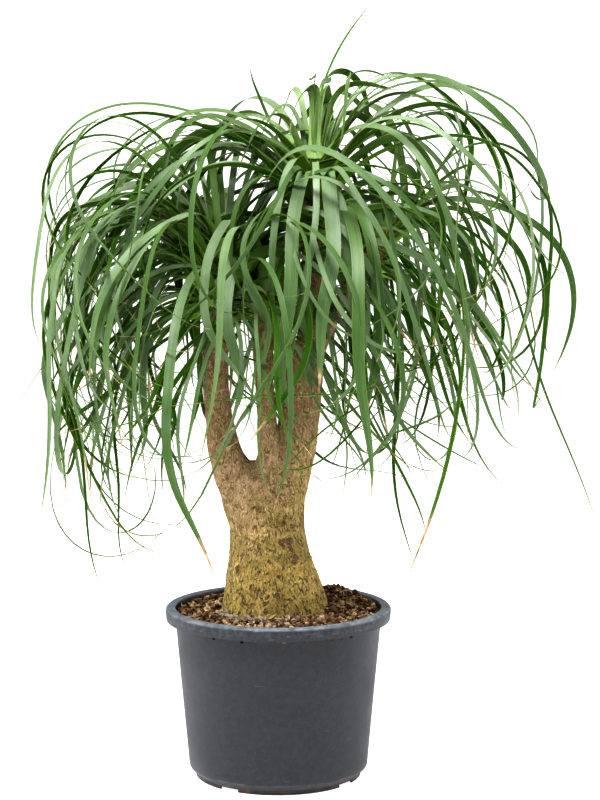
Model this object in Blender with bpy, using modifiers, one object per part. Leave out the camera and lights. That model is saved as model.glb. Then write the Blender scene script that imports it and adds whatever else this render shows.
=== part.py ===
"""Potted ponytail palm: a branched caudex with four leaf crowns, growing in a nursery container.

Metres, +Z up. The origin is the middle of the container's foot, where it stands,
and the plant's front faces -Y.
"""

import math
import random

import bmesh
import bpy
import numpy
from mathutils import Matrix, Vector
from mathutils.bvhtree import BVHTree

GAP = 0.0004  # left between two pieces that touch

# Container: a 31 cm nursery pot, moulded in one piece with a rim folded outwards and down.
POT_HEIGHT = 0.2345
RIM_RADIUS = 0.155
RIM_DROP = 0.0174
RIM_ROUND = 0.0045
RIM_TAPER = 0.0012
WALL = 0.002
WALL_TOP_RADIUS = 0.143
WALL_ROUND = 0.0016
WALL_FOOT_RADIUS = 0.123
CHAMFER_HEIGHT = 0.014
FOOT_RADIUS = 0.114
FOOT_WIDTH = 0.0035
BASE_LIFT = 0.005
BASE_PLATE = 0.0025
CENTRE_PAD_RADIUS = 0.030
TURN_STEPS = 48
NOTCH_COUNT = 4
NOTCH_SIZE = Vector((0.030, 0.012, 0.0042))
FIRST_NOTCH_DEG = 54.0
DRAIN_COUNT = 8
DRAIN_RADIUS = 0.006
DRAIN_SIDES = 14
DRAIN_CIRCLE = 0.088
RIM_SLOT_SIZE = Vector((0.0036, 0.010, 0.0020))
RIM_SLOT_HEIGHT = 0.2125
RIM_SLOT_DEGS = (-37.5, -20.0, 43.7, 84.5, 150.0, -140.0)

# Potting soil: fills the container to just under the rim, heaped behind the trunk.
SOIL_EDGE = 0.2240
SOIL_CENTRE = 0.2310
SOIL_RING_RADII = (0.040, 0.060, 0.078, 0.095, 0.112, 0.127)
HEAP_PLACE = Vector((0.075, 0.045))
HEAP_RISE = 0.014
HEAP_SPREAD = 0.030

# Trunk: each row is x, y, z of the middle, then the half width and the half depth.
CAUDEX = (
    (-0.004, 0.000, 0.168, 0.044, 0.043),
    (-0.004, 0.000, 0.182, 0.063, 0.061),
    (-0.005, 0.000, 0.204, 0.0745, 0.073),
    (-0.005, 0.000, 0.232, 0.0735, 0.072),
    (-0.008, 0.000, 0.269, 0.0652, 0.064),
    (-0.011, 0.000, 0.298, 0.0580, 0.058),
    (-0.0135, 0.001, 0.328, 0.0525, 0.053),
    (-0.0150, 0.001, 0.350, 0.0515, 0.050),
    (-0.0185, 0.002, 0.378, 0.0565, 0.047),
    (-0.0200, 0.003, 0.404, 0.0590, 0.042),
    (-0.0200, 0.004, 0.424, 0.0480, 0.034),
    (-0.0200, 0.004, 0.434, 0.0260, 0.020),
)
LEFT_LIMB = (
    (-0.028, 0.000, 0.345, 0.018, 0.020),
    (-0.044, 0.000, 0.376, 0.0265, 0.028),
    (-0.0610, -0.002, 0.412, 0.0262, 0.0262),
    (-0.0735, -0.004, 0.453, 0.0228, 0.0225),
    (-0.0795, -0.006, 0.490, 0.0196, 0.0196),
    (-0.0842, -0.008, 0.540, 0.0183, 0.0185),
    (-0.0838, -0.010, 0.600, 0.0185, 0.0185),
    (-0.0780, -0.012, 0.655, 0.0190, 0.0190),
    (-0.0710, -0.012, 0.705, 0.0165, 0.0165),
    (-0.0680, -0.012, 0.738, 0.0090, 0.0090),
)
MIDDLE_LIMB = (
    (-0.012, -0.004, 0.350, 0.018, 0.020),
    (-0.0105, -0.012, 0.390, 0.0205, 0.0225),
    (-0.0105, -0.018, 0.432, 0.0172, 0.0185),
    (-0.0130, -0.018, 0.472, 0.0140, 0.0150),
    (-0.0175, -0.014, 0.525, 0.0130, 0.0135),
    (-0.0190, -0.004, 0.580, 0.0132, 0.0135),
    (-0.0160, 0.008, 0.625, 0.0145, 0.0145),
    (-0.0120, 0.018, 0.660, 0.0135, 0.0135),
    (-0.0100, 0.024, 0.688, 0.0080, 0.0080),
)
RIGHT_LIMB = (
    (0.0030, 0.003, 0.345, 0.022, 0.026),
    (0.0085, 0.004, 0.385, 0.0290, 0.0310),
    (0.0185, 0.004, 0.432, 0.0300, 0.0300),
    (0.0275, 0.004, 0.478, 0.0288, 0.0280),
    (0.0330, 0.004, 0.535, 0.0275, 0.0265),
    (0.0395, 0.004, 0.572, 0.0250, 0.0240),
    (0.0470, 0.003, 0.615, 0.0190, 0.0195),
    (0.0500, 0.002, 0.665, 0.0170, 0.0175),
    (0.0490, 0.000, 0.725, 0.0190, 0.0190),
    (0.0475, 0.000, 0.790, 0.0190, 0.0190),
    (0.0470, 0.000, 0.835, 0.0140, 0.0140),
    (0.0470, 0.000, 0.862, 0.0070, 0.0070),
)
BACK_LIMB = (
    (0.0380, 0.006, 0.545, 0.0140, 0.0140),
    (0.0500, 0.014, 0.580, 0.0140, 0.0140),
    (0.0660, 0.026, 0.615, 0.0120, 0.0120),
    (0.0900, 0.044, 0.652, 0.0120, 0.0120),
    (0.1180, 0.062, 0.690, 0.0145, 0.0145),
    (0.1400, 0.074, 0.725, 0.0130, 0.0130),
    (0.1480, 0.078, 0.748, 0.0070, 0.0070),
)
CAUDEX_SIDES = 32
CAUDEX_RINGS = 17
SOCKET_RINGS = 9
FLUTING = 0.018
LIMB_SIDES = 14
LIMB_RINGS = 11

# Leaves: long straps that narrow to a point.
LEAF_THICKNESS = 0.0012
LEAF_RINGS = 14
LEAF_CLEARANCE = 0.0009
TURN_STEP_DEG = 2.0
TURN_LIMIT_DEG = 40.0
LIFT_SHIFTS = (0.0, 0.004, -0.004, 0.009, -0.009, 0.015, -0.015, 0.024, -0.024)

# Where each crown's leaves sit: the lowest and the highest point of its leafy stem.
CROWNS = {
    "top_crown": (Vector((0.0495, 0.000, 0.730)), Vector((0.0470, 0.000, 0.852)), 0.0195),
    "left_crown": (Vector((-0.080, -0.011, 0.640)), Vector((-0.0685, -0.012, 0.732)), 0.0195),
    "middle_crown": (Vector((-0.0165, 0.006, 0.615)), Vector((-0.0100, 0.023, 0.684)), 0.0150),
    "right_crown": (Vector((0.112, 0.058, 0.682)), Vector((0.147, 0.077, 0.744)), 0.0150),
}

# Leaves that are set one by one. Each row is: how far up the crown the leaf starts (0 to 1),
# its width in mm, its twist in degrees, then the points that it passes through to its tip.
SET_LEAVES = {
    "top_crown": (
        (0.62, 18, 15, (0.027, -0.050, 0.845), (0.004, -0.105, 0.800), (-0.002, -0.135, 0.735),
         (0.006, -0.140, 0.660), (0.020, -0.135, 0.590)),
        (0.50, 19, -10, (0.038, -0.055, 0.828), (0.020, -0.120, 0.790), (0.010, -0.155, 0.725),
         (0.008, -0.165, 0.650), (0.016, -0.160, 0.575), (0.040, -0.150, 0.500)),
        (0.72, 9, 20, (0.049, -0.050, 0.840), (0.050, -0.115, 0.800), (0.044, -0.140, 0.715),
         (0.022, -0.148, 0.640), (-0.002, -0.150, 0.570)),
        (0.38, 20, -25, (0.062, -0.055, 0.830), (0.068, -0.130, 0.785), (0.070, -0.170, 0.715),
         (0.054, -0.185, 0.665), (0.041, -0.185, 0.610), (0.034, -0.180, 0.550)),
        (0.45, 18, 10, (0.105, -0.045, 0.832), (0.134, -0.095, 0.797), (0.148, -0.130, 0.740),
         (0.154, -0.140, 0.670), (0.150, -0.135, 0.560)),
        (0.20, 18, 15, (0.090, -0.060, 0.790), (0.115, -0.110, 0.758), (0.124, -0.135, 0.690),
         (0.126, -0.140, 0.610), (0.132, -0.135, 0.500)),
        (0.66, 18, -20, (0.110, -0.025, 0.850), (0.165, -0.050, 0.872), (0.200, -0.070, 0.836),
         (0.213, -0.080, 0.775), (0.214, -0.080, 0.700), (0.198, -0.078, 0.600)),
        (0.86, 10, 25, (0.095, 0.020, 0.918), (0.165, 0.035, 0.957), (0.222, 0.048, 0.935),
         (0.254, 0.054, 0.875), (0.245, 0.054, 0.810), (0.222, 0.050, 0.750)),
        (0.80, 11, -15, (0.100, 0.000, 0.895), (0.165, -0.008, 0.931), (0.222, -0.016, 0.902),
         (0.246, -0.020, 0.850), (0.242, -0.020, 0.785)),
        (0.74, 13, 20, (0.105, -0.012, 0.870), (0.155, -0.018, 0.902), (0.205, -0.020, 0.917),
         (0.262, -0.020, 0.897), (0.304, -0.020, 0.850), (0.322, -0.018, 0.790),
         (0.312, -0.015, 0.720), (0.290, -0.012, 0.660)),
        (0.58, 15, -30, (0.110, 0.040, 0.850), (0.180, 0.075, 0.895), (0.235, 0.095, 0.907),
         (0.275, 0.108, 0.872), (0.268, 0.110, 0.810), (0.245, 0.105, 0.750)),
        (0.56, 12, 25, (0.115, -0.030, 0.842), (0.185, -0.048, 0.870), (0.245, -0.060, 0.874),
         (0.300, -0.070, 0.852), (0.350, -0.078, 0.800), (0.377, -0.082, 0.730),
         (0.362, -0.082, 0.675), (0.315, -0.078, 0.635), (0.262, -0.070, 0.600)),
        (0.76, 15, -10, (0.012, -0.028, 0.852), (-0.042, -0.045, 0.886), (-0.098, -0.058, 0.901),
         (-0.136, -0.066, 0.876), (-0.153, -0.070, 0.820), (-0.165, -0.070, 0.755)),
        (0.54, 15, 15, (0.000, -0.038, 0.818), (-0.063, -0.078, 0.837), (-0.122, -0.106, 0.817),
         (-0.164, -0.122, 0.762), (-0.166, -0.128, 0.700), (-0.146, -0.128, 0.630)),
        (0.70, 10, 20, (-0.020, 0.004, 0.862), (-0.120, 0.008, 0.908), (-0.200, 0.008, 0.917),
         (-0.264, 0.006, 0.893), (-0.304, 0.004, 0.830), (-0.300, 0.002, 0.755),
         (-0.270, 0.000, 0.700), (-0.228, -0.004, 0.645)),
        (0.64, 11, -20, (-0.025, -0.020, 0.850), (-0.115, -0.048, 0.893), (-0.195, -0.066, 0.901),
         (-0.250, -0.080, 0.872), (-0.273, -0.088, 0.820), (-0.263, -0.090, 0.760),
         (-0.238, -0.088, 0.690)),
        (0.96, 5, 0, (0.054, -0.001, 0.905), (0.070, 0.002, 0.968), (0.096, 0.003, 1.018),
         (0.124, 0.004, 1.054)),
        (0.84, 6, 10, (0.012, 0.030, 0.862), (-0.018, 0.045, 0.902), (-0.044, 0.050, 0.969)),
        (0.94, 17, 20, (0.050, -0.020, 0.905), (0.044, -0.034, 0.941), (0.026, -0.042, 0.925),
         (0.014, -0.048, 0.875)),
        (0.90, 15, -15, (0.070, -0.010, 0.895), (0.090, -0.020, 0.938), (0.094, -0.036, 0.955),
         (0.086, -0.054, 0.928), (0.078, -0.064, 0.860)),
        (0.88, 11, 15, (0.030, 0.008, 0.892), (0.012, 0.010, 0.915), (-0.008, 0.006, 0.893),
         (-0.016, 0.000, 0.845)),
        (0.92, 19, 10, (0.052, 0.022, 0.905), (0.060, 0.050, 0.942), (0.068, 0.090, 0.925),
         (0.072, 0.120, 0.860), (0.072, 0.130, 0.780)),
        (0.30, 18, -15, (0.006, -0.050, 0.782), (-0.020, -0.090, 0.776), (-0.041, -0.130, 0.745),
         (-0.039, -0.152, 0.695), (-0.022, -0.160, 0.645), (-0.040, -0.158, 0.560)),
        (0.12, 17, 10, (0.076, -0.070, 0.778), (0.088, -0.150, 0.768), (0.095, -0.220, 0.700),
         (0.096, -0.245, 0.600), (0.092, -0.248, 0.500), (0.086, -0.240, 0.420)),
        (0.26, 14, -10, (0.095, -0.075, 0.778), (0.145, -0.155, 0.768), (0.176, -0.215, 0.690),
         (0.178, -0.232, 0.570), (0.152, -0.228, 0.430), (0.110, -0.215, 0.306)),
    ),
    "left_crown": (
        (0.88, 18, 15, (-0.060, -0.045, 0.764), (-0.082, -0.092, 0.738), (-0.094, -0.126, 0.680),
         (-0.088, -0.142, 0.625), (-0.062, -0.146, 0.575), (-0.030, -0.146, 0.515)),
        (0.45, 16, -10, (-0.058, -0.055, 0.715), (-0.064, -0.095, 0.682), (-0.066, -0.115, 0.620),
         (-0.060, -0.118, 0.520)),
        (0.80, 14, 20, (-0.095, -0.060, 0.768), (-0.142, -0.120, 0.762), (-0.196, -0.172, 0.718),
         (-0.232, -0.195, 0.660), (-0.254, -0.200, 0.570)),
        (0.92, 12, -15, (-0.115, -0.004, 0.776), (-0.180, 0.002, 0.779), (-0.234, 0.004, 0.732),
         (-0.264, 0.004, 0.672), (-0.274, 0.002, 0.580)),
        (0.96, 9, 25, (-0.120, 0.030, 0.805), (-0.200, 0.060, 0.836), (-0.272, 0.076, 0.815),
         (-0.314, 0.080, 0.755), (-0.320, 0.080, 0.680), (-0.296, 0.080, 0.560)),
        (0.55, 11, -20, (-0.155, -0.018, 0.715), (-0.225, -0.026, 0.690), (-0.290, -0.030, 0.630),
         (-0.312, -0.030, 0.575), (-0.296, -0.030, 0.490), (-0.282, -0.030, 0.380)),
        (0.20, 13, 10, (-0.125, -0.045, 0.690), (-0.165, -0.078, 0.640), (-0.182, -0.090, 0.520),
         (-0.170, -0.086, 0.400), (-0.156, -0.080, 0.284)),
        (0.10, 14, -15, (-0.096, -0.085, 0.700), (-0.118, -0.160, 0.665), (-0.130, -0.220, 0.560),
         (-0.126, -0.242, 0.440), (-0.098, -0.246, 0.365), (-0.076, -0.244, 0.312)),
        (0.35, 9, 15, (-0.140, -0.045, 0.690), (-0.225, -0.052, 0.655), (-0.300, -0.055, 0.590),
         (-0.356, -0.055, 0.515)),
    ),
    "middle_crown": (
        (0.85, 16, 10, (0.012, -0.045, 0.745), (0.024, -0.085, 0.700), (0.028, -0.105, 0.630),
         (0.030, -0.105, 0.540)),
    ),
    "right_crown": (
        (0.95, 14, 15, (0.195, 0.066, 0.778), (0.262, 0.056, 0.788), (0.332, 0.048, 0.766),
         (0.376, 0.038, 0.728), (0.396, 0.030, 0.665), (0.388, 0.028, 0.612), (0.366, 0.026, 0.560)),
        (0.75, 12, -20, (0.205, 0.098, 0.768), (0.284, 0.120, 0.770), (0.345, 0.134, 0.738),
         (0.382, 0.140, 0.690), (0.388, 0.138, 0.630), (0.372, 0.132, 0.550)),
        (0.60, 10, 10, (0.205, 0.040, 0.760), (0.275, 0.008, 0.735), (0.322, -0.006, 0.660),
         (0.350, -0.010, 0.560), (0.390, -0.006, 0.440), (0.422, 0.000, 0.336)),
        (0.40, 16, -15, (0.185, 0.036, 0.755), (0.232, 0.004, 0.728), (0.258, -0.012, 0.660),
         (0.260, -0.014, 0.570), (0.248, -0.014, 0.455)),
        (0.85, 17, 10, (0.168, 0.118, 0.780), (0.204, 0.180, 0.762), (0.236, 0.238, 0.680),
         (0.250, 0.268, 0.560), (0.250, 0.275, 0.430)),
        (0.50, 16, -10, (0.146, 0.130, 0.765), (0.146, 0.210, 0.748), (0.154, 0.275, 0.660),
         (0.158, 0.300, 0.540), (0.156, 0.305, 0.430)),
    ),
}

# Leaves that follow one rule: they rise from the crown, arch over and hang.
# Each row is: crown, how many, first heading in degrees, last heading, rise in degrees, length.
ARCHED_LEAVES = (
    ("top_crown", 5, 40.0, 138.0, 52.0, 0.62),
    ("left_crown", 6, 95.0, 205.0, 50.0, 0.56),
    ("middle_crown", 4, 60.0, 255.0, 58.0, 0.46),
    ("right_crown", 1, 130.0, 130.0, 48.0, 0.52),
)
ARCH_POINTS = 8
ARCH_FALL_DEG = -88.0
ARCH_SEED = 21

COLOURS = {
    "container_plastic": ((0.055, 0.062, 0.070), 0.55),
    "potting_soil": ((0.060, 0.036, 0.022), 0.95),
    "bark": ((0.300, 0.220, 0.120), 0.85),
    "leaf_blade": ((0.110, 0.240, 0.060), 0.45),
}


def clear_scene():
    for item in list(bpy.data.objects):
        bpy.data.objects.remove(item, do_unlink=True)


def make_collection(name):
    group = bpy.data.collections.new(name)
    bpy.context.scene.collection.children.link(group)
    return group


def finish_of(name):
    """The material of one part, from its colour and roughness."""
    found = bpy.data.materials.get(name)
    if found:
        return found
    colour, roughness = COLOURS[name]
    material = bpy.data.materials.new(name)
    material.use_nodes = True
    shader = material.node_tree.nodes["Principled BSDF"]
    shader.inputs["Base Color"].default_value = (*colour, 1.0)
    shader.inputs["Roughness"].default_value = roughness
    shader.inputs["Metallic"].default_value = 0.0
    return material


def add_object(group, name, mesh, finish=None):
    item = bpy.data.objects.new(name, mesh)
    group.objects.link(item)
    if finish:
        mesh.materials.append(finish_of(finish))
    return item


def mesh_from(bm, name):
    bmesh.ops.recalc_face_normals(bm, faces=bm.faces)
    mesh = bpy.data.meshes.new(name)
    bm.to_mesh(mesh)
    bm.free()
    return mesh


def combine(target, tool, operation):
    """A live Boolean on the target; the tool stays in the file as a hidden guide."""
    modifier = target.modifiers.new(operation.lower(), "BOOLEAN")
    modifier.operation = operation
    modifier.object = tool
    modifier.solver = "EXACT"


def hide_cutter(item):
    item.hide_render = True
    item.display_type = "WIRE"


def turned_object(group, name, profile, finish):
    """A solid turned about Z from a profile of radius and height, listed outer side downwards."""
    bm = bmesh.new()
    points = [bm.verts.new((radius, 0.0, height)) for radius, height in profile]
    for start, end in zip(points, points[1:]):
        bm.edges.new((start, end))
    mesh = bpy.data.meshes.new(name)
    bm.to_mesh(mesh)
    bm.free()
    item = add_object(group, name, mesh, finish)
    screw = item.modifiers.new("turn", "SCREW")
    screw.axis = "Z"
    screw.steps = TURN_STEPS
    screw.render_steps = TURN_STEPS
    screw.use_merge_vertices = True
    screw.merge_threshold = 0.00005
    screw.use_smooth_shade = True
    return item


# --- Container ---------------------------------------------------------------------------


def arc(middle, radius, first_deg, last_deg, count):
    """Points of an arc in the turned section, as radius and height."""
    points = []
    for index in range(count):
        angle = math.radians(first_deg + (last_deg - first_deg) * index / (count - 1))
        points.append((middle[0] + radius * math.cos(angle), middle[1] + radius * math.sin(angle)))
    return points


def wall_radius(height):
    """The outer wall, which widens evenly from the chamfer to the rim."""
    share = (height - CHAMFER_HEIGHT) / (POT_HEIGHT - WALL - CHAMFER_HEIGHT)
    return WALL_FOOT_RADIUS + (WALL_TOP_RADIUS - WALL_FOOT_RADIUS) * share


def pot_profile():
    """The floor, up the inside, over the rim, down the outside and under the base."""
    lip_bottom = POT_HEIGHT - RIM_DROP
    plate_top = BASE_LIFT + BASE_PLATE
    bore = WALL_TOP_RADIUS - WALL
    foot_inside = FOOT_RADIUS - FOOT_WIDTH
    lip_radius = RIM_RADIUS - RIM_TAPER
    profile = [
        (0.0, plate_top),
        (FOOT_RADIUS - WALL, plate_top),
        (WALL_FOOT_RADIUS - WALL, CHAMFER_HEIGHT),
    ]
    profile += arc((bore + WALL_ROUND, POT_HEIGHT - WALL_ROUND), WALL_ROUND, 180.0, 90.0, 4)
    profile += arc((RIM_RADIUS - RIM_ROUND, POT_HEIGHT - RIM_ROUND), RIM_ROUND, 90.0, 0.0, 5)
    profile += [
        (lip_radius, lip_bottom),
        (lip_radius - WALL, lip_bottom),
        (RIM_RADIUS - WALL, POT_HEIGHT - RIM_ROUND),
        (RIM_RADIUS - RIM_ROUND, POT_HEIGHT - WALL),
        (WALL_TOP_RADIUS, POT_HEIGHT - WALL),
        (WALL_FOOT_RADIUS, CHAMFER_HEIGHT),
        (FOOT_RADIUS, BASE_LIFT),
        (FOOT_RADIUS, 0.0),
        (foot_inside, 0.0),
        (foot_inside, BASE_LIFT),
        (CENTRE_PAD_RADIUS, BASE_LIFT),
        (CENTRE_PAD_RADIUS, 0.0),
        (0.0, 0.0),
    ]
    return profile


def box_cutter(group, name, size, radius, height, angle_deg):
    """A box set on a circle around the container's axis; 0 degrees is the front."""
    bm = bmesh.new()
    bmesh.ops.create_cube(bm, size=1.0)
    bmesh.ops.scale(bm, vec=size, verts=bm.verts)
    turn = Matrix.Rotation(math.radians(angle_deg), 4, "Z")
    move = Matrix.Translation((0.0, -radius, height))
    bmesh.ops.transform(bm, matrix=turn @ move, verts=bm.verts)
    item = add_object(group, name, mesh_from(bm, name))
    hide_cutter(item)
    return item


def drain_cutter(group, name, angle_deg):
    bm = bmesh.new()
    bmesh.ops.create_cone(
        bm,
        cap_ends=True,
        segments=DRAIN_SIDES,
        radius1=DRAIN_RADIUS,
        radius2=DRAIN_RADIUS,
        depth=6 * BASE_PLATE,
    )
    turn = Matrix.Rotation(math.radians(angle_deg), 4, "Z")
    move = Matrix.Translation((0.0, -DRAIN_CIRCLE, BASE_LIFT + BASE_PLATE / 2))
    bmesh.ops.transform(bm, matrix=turn @ move, verts=bm.verts)
    item = add_object(group, name, mesh_from(bm, name))
    hide_cutter(item)
    return item


def build_pot(parts, cutters):
    pot = turned_object(parts, "nursery_pot", pot_profile(), "container_plastic")
    tools = []
    for index in range(NOTCH_COUNT):
        angle = FIRST_NOTCH_DEG + index * 360.0 / NOTCH_COUNT
        radius = FOOT_RADIUS - FOOT_WIDTH / 2
        height = NOTCH_SIZE.z / 2 - GAP
        name = f"foot_notch_{index + 1}"
        tools.append(box_cutter(cutters, name, NOTCH_SIZE, radius, height, angle))
    for index in range(DRAIN_COUNT):
        angle = (index + 0.5) * 360.0 / DRAIN_COUNT
        tools.append(drain_cutter(cutters, f"drain_hole_{index + 1}", angle))
    for index, angle in enumerate(RIM_SLOT_DEGS):
        radius = wall_radius(RIM_SLOT_HEIGHT) - WALL / 2
        name = f"rim_slot_{index + 1}"
        tools.append(box_cutter(cutters, name, RIM_SLOT_SIZE, radius, RIM_SLOT_HEIGHT, angle))
    for tool in tools:
        combine(pot, tool, "DIFFERENCE")
    return pot


# --- Trunk -------------------------------------------------------------------------------


def smooth_rows(rows, count):
    """Even samples along the natural cubic curve through the rows; x, y, z come first."""
    rows = numpy.array(rows, dtype=float)
    steps = numpy.linalg.norm(numpy.diff(rows[:, :3], axis=0), axis=1)
    knots = numpy.concatenate(([0.0], numpy.cumsum(steps)))
    size = len(rows)
    matrix = numpy.eye(size)
    right = numpy.zeros_like(rows)
    for i in range(1, size - 1):
        matrix[i, i - 1] = steps[i - 1]
        matrix[i, i] = 2.0 * (steps[i - 1] + steps[i])
        matrix[i, i + 1] = steps[i]
        slope = (rows[i + 1] - rows[i]) / steps[i] - (rows[i] - rows[i - 1]) / steps[i - 1]
        right[i] = 6.0 * slope
    bends = numpy.linalg.solve(matrix, right)

    def at(place):
        i = min(max(int(numpy.searchsorted(knots, place)) - 1, 0), size - 2)
        width = steps[i]
        a = (knots[i + 1] - place) / width
        b = (place - knots[i]) / width
        curve = (a**3 - a) * bends[i] + (b**3 - b) * bends[i + 1]
        return a * rows[i] + b * rows[i + 1] + curve * width**2 / 6.0

    fine = numpy.array([at(place) for place in numpy.linspace(0.0, knots[-1], 12 * size)])
    lengths = numpy.linalg.norm(numpy.diff(fine[:, :3], axis=0), axis=1)
    travelled = numpy.concatenate(([0.0], numpy.cumsum(lengths)))
    wanted = numpy.linspace(0.0, travelled[-1], count)
    columns = [numpy.interp(wanted, travelled, fine[:, k]) for k in range(rows.shape[1])]
    return numpy.array(columns).T


def tangents_of(points):
    return [
        (points[min(i + 1, len(points) - 1)] - points[max(i - 1, 0)]).normalized()
        for i in range(len(points))
    ]


def loft(bm, rings):
    """Closed skin over rings of equal vertex count; a last ring of one vertex is a point."""
    made = [[bm.verts.new(place) for place in ring] for ring in rings]
    for near, far in zip(made, made[1:]):
        count = len(near)
        for k in range(count):
            after = (k + 1) % count
            if len(far) == 1:
                bm.faces.new((near[k], near[after], far[0]))
            else:
                bm.faces.new((near[k], near[after], far[after], far[k]))
    bm.faces.new(list(reversed(made[0])))
    if len(made[-1]) > 2:
        bm.faces.new(made[-1])


def limb_rings(rows, count, sides, grow=0.0, fluting=0.0):
    """Oval sections square to the limb's own line, a little fluted on the caudex."""
    rows = smooth_rows(rows, count)
    middles = [Vector(row[:3]) for row in rows]
    rings = []
    for middle, along, row in zip(middles, tangents_of(middles), rows):
        across = Vector((0.0, 1.0, 0.0)).cross(along).normalized()
        deep = along.cross(across).normalized()
        ring = []
        for k in range(sides):
            angle = math.tau * k / sides
            swell = 1.0 + fluting * math.sin(3.0 * angle + 14.0 * middle.z)
            swell += 0.6 * fluting * math.sin(5.0 * angle - 21.0 * middle.z)
            x = (row[3] * swell + grow) * math.cos(angle)
            y = (row[4] * swell + grow) * math.sin(angle)
            ring.append(middle + across * x + deep * y)
        rings.append(ring)
    return rings


def limb_object(group, name, rings, finish=None):
    bm = bmesh.new()
    loft(bm, rings)
    return add_object(group, name, mesh_from(bm, name), finish)


def build_trunk(parts, cutters):
    caudex = limb_rings(CAUDEX, CAUDEX_RINGS, CAUDEX_SIDES, fluting=FLUTING)
    trunk = limb_object(parts, "trunk", caudex, "bark")
    limbs = (
        ("left_limb", LEFT_LIMB),
        ("middle_limb", MIDDLE_LIMB),
        ("right_limb", RIGHT_LIMB),
        ("back_limb", BACK_LIMB),
    )
    for name, rows in limbs:
        limb = limb_object(cutters, name, limb_rings(rows, LIMB_RINGS, LIMB_SIDES))
        hide_cutter(limb)
        combine(trunk, limb, "UNION")
    return trunk


# --- Potting soil ------------------------------------------------------------------------


def soil_profile():
    """The surface from the middle outwards, then down inside the container's wall."""
    floor = BASE_LIFT + BASE_PLATE + GAP
    edge_radius = wall_radius(SOIL_EDGE) - WALL - GAP
    profile = [(0.0, SOIL_CENTRE)]
    for radius in SOIL_RING_RADII:
        drop = (SOIL_CENTRE - SOIL_EDGE) * (radius / edge_radius) ** 3
        profile.append((radius, SOIL_CENTRE - drop))
    profile += [
        (edge_radius, SOIL_EDGE),
        (WALL_FOOT_RADIUS - WALL - GAP, CHAMFER_HEIGHT + GAP),
        (FOOT_RADIUS - WALL - GAP, floor),
        (0.0, floor),
    ]
    return profile


def build_soil(parts, cutters):
    soil = turned_object(parts, "potting_soil", soil_profile(), "potting_soil")
    bpy.context.view_layer.update()
    evaluated = soil.evaluated_get(bpy.context.evaluated_depsgraph_get())
    heaped = bpy.data.meshes.new_from_object(evaluated)
    soil.modifiers.clear()
    soil.data = heaped
    for vertex in heaped.vertices:
        if vertex.co.z > SOIL_EDGE:
            reach = (vertex.co.xy - HEAP_PLACE).length
            vertex.co.z += HEAP_RISE * math.exp(-(reach**2) / (2.0 * HEAP_SPREAD**2))
    rings = limb_rings(CAUDEX, CAUDEX_RINGS, CAUDEX_SIDES, grow=GAP, fluting=FLUTING)
    lowest = [place - Vector((0.0, 0.0, GAP)) for place in rings[0]]
    socket = limb_object(cutters, "trunk_socket", [lowest] + rings[:SOCKET_RINGS])
    hide_cutter(socket)
    combine(soil, socket, "DIFFERENCE")
    return soil


# --- Leaves ------------------------------------------------------------------------------


def blade_width(share, width):
    """Narrow at the clasping base, full along the arch, drawn out to a fine point."""
    base = 0.66 + 0.34 * math.sin(min(share / 0.22, 1.0) * math.pi / 2)
    point = 1.0 - max(0.0, (share - 0.35) / 0.65) ** 1.7
    return width * base * point


def blade_rings(route, width, twist_deg, extra=0.0):
    """Flat four-cornered sections along the leaf, ending in a point."""
    points = [Vector(row) for row in smooth_rows(route, LEAF_RINGS)]
    lines = tangents_of(points)
    heading = Vector((points[3].x - points[0].x, points[3].y - points[0].y, 0.0)).normalized()
    side = Vector((0.0, 0.0, 1.0)).cross(heading)
    rings = []
    for index, (point, along) in enumerate(zip(points, lines)):
        share = index / (LEAF_RINGS - 1)
        side = (side - along * side.dot(along)).normalized()
        turned = Matrix.Rotation(math.radians(twist_deg) * share**1.5, 3, along) @ side
        face = along.cross(turned).normalized()
        half_width = blade_width(share, width) / 2 + extra
        half_thick = LEAF_THICKNESS * (1.0 - 0.45 * share) / 2 + extra
        if index == LEAF_RINGS - 1:
            rings.append([point])
        else:
            corners = ((-1, -1), (1, -1), (1, 1), (-1, 1))
            rings.append([point + turned * half_width * a + face * half_thick * b for a, b in corners])
    return rings


def blade_mesh(name, route, width, twist_deg, extra=0.0):
    bm = bmesh.new()
    loft(bm, blade_rings(route, width, twist_deg, extra))
    return mesh_from(bm, name)


def tree_of(mesh):
    corners = [vertex.co.copy() for vertex in mesh.vertices]
    faces = [tuple(face.vertices) for face in mesh.polygons]
    return BVHTree.FromPolygons(corners, faces)


def turned_route(crown, lift, points, turn_deg):
    """The leaf's points turned about its crown, with its start on the crown's bark."""
    low, high, radius = CROWNS[crown]
    stem = low.lerp(high, lift)
    turn = Matrix.Rotation(math.radians(turn_deg), 3, "Z")
    places = [stem + turn @ (Vector(point) - stem) for point in points]
    outward = Vector((places[0].x - stem.x, places[0].y - stem.y, 0.0)).normalized()
    stem_radius = radius * (1.0 - 0.55 * max(0.0, lift - 0.55) / 0.45)
    start = stem + outward * (stem_radius + LEAF_THICKNESS + 2 * LEAF_CLEARANCE)
    return [start] + places


def turns_to_try():
    yield 0.0
    turn = TURN_STEP_DEG
    while turn <= TURN_LIMIT_DEG:
        yield turn
        yield -turn
        turn += TURN_STEP_DEG


def hang_clear(name, crown, lift, width, twist_deg, points, placed):
    """The leaf as set, or turned a little about its crown until it touches nothing."""
    for turn_deg in turns_to_try():
        for shift in LIFT_SHIFTS:
            share = min(max(lift + shift / (CROWNS[crown][1] - CROWNS[crown][0]).length, 0.0), 1.0)
            route = turned_route(crown, share, points, turn_deg)
            room = blade_mesh("room", route, width, twist_deg, LEAF_CLEARANCE)
            room_tree = tree_of(room)
            bpy.data.meshes.remove(room)
            if not any(tree.overlap(room_tree) for tree in placed):
                return blade_mesh(name, route, width, twist_deg)
    raise RuntimeError(f"{name} finds no free place")


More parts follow.
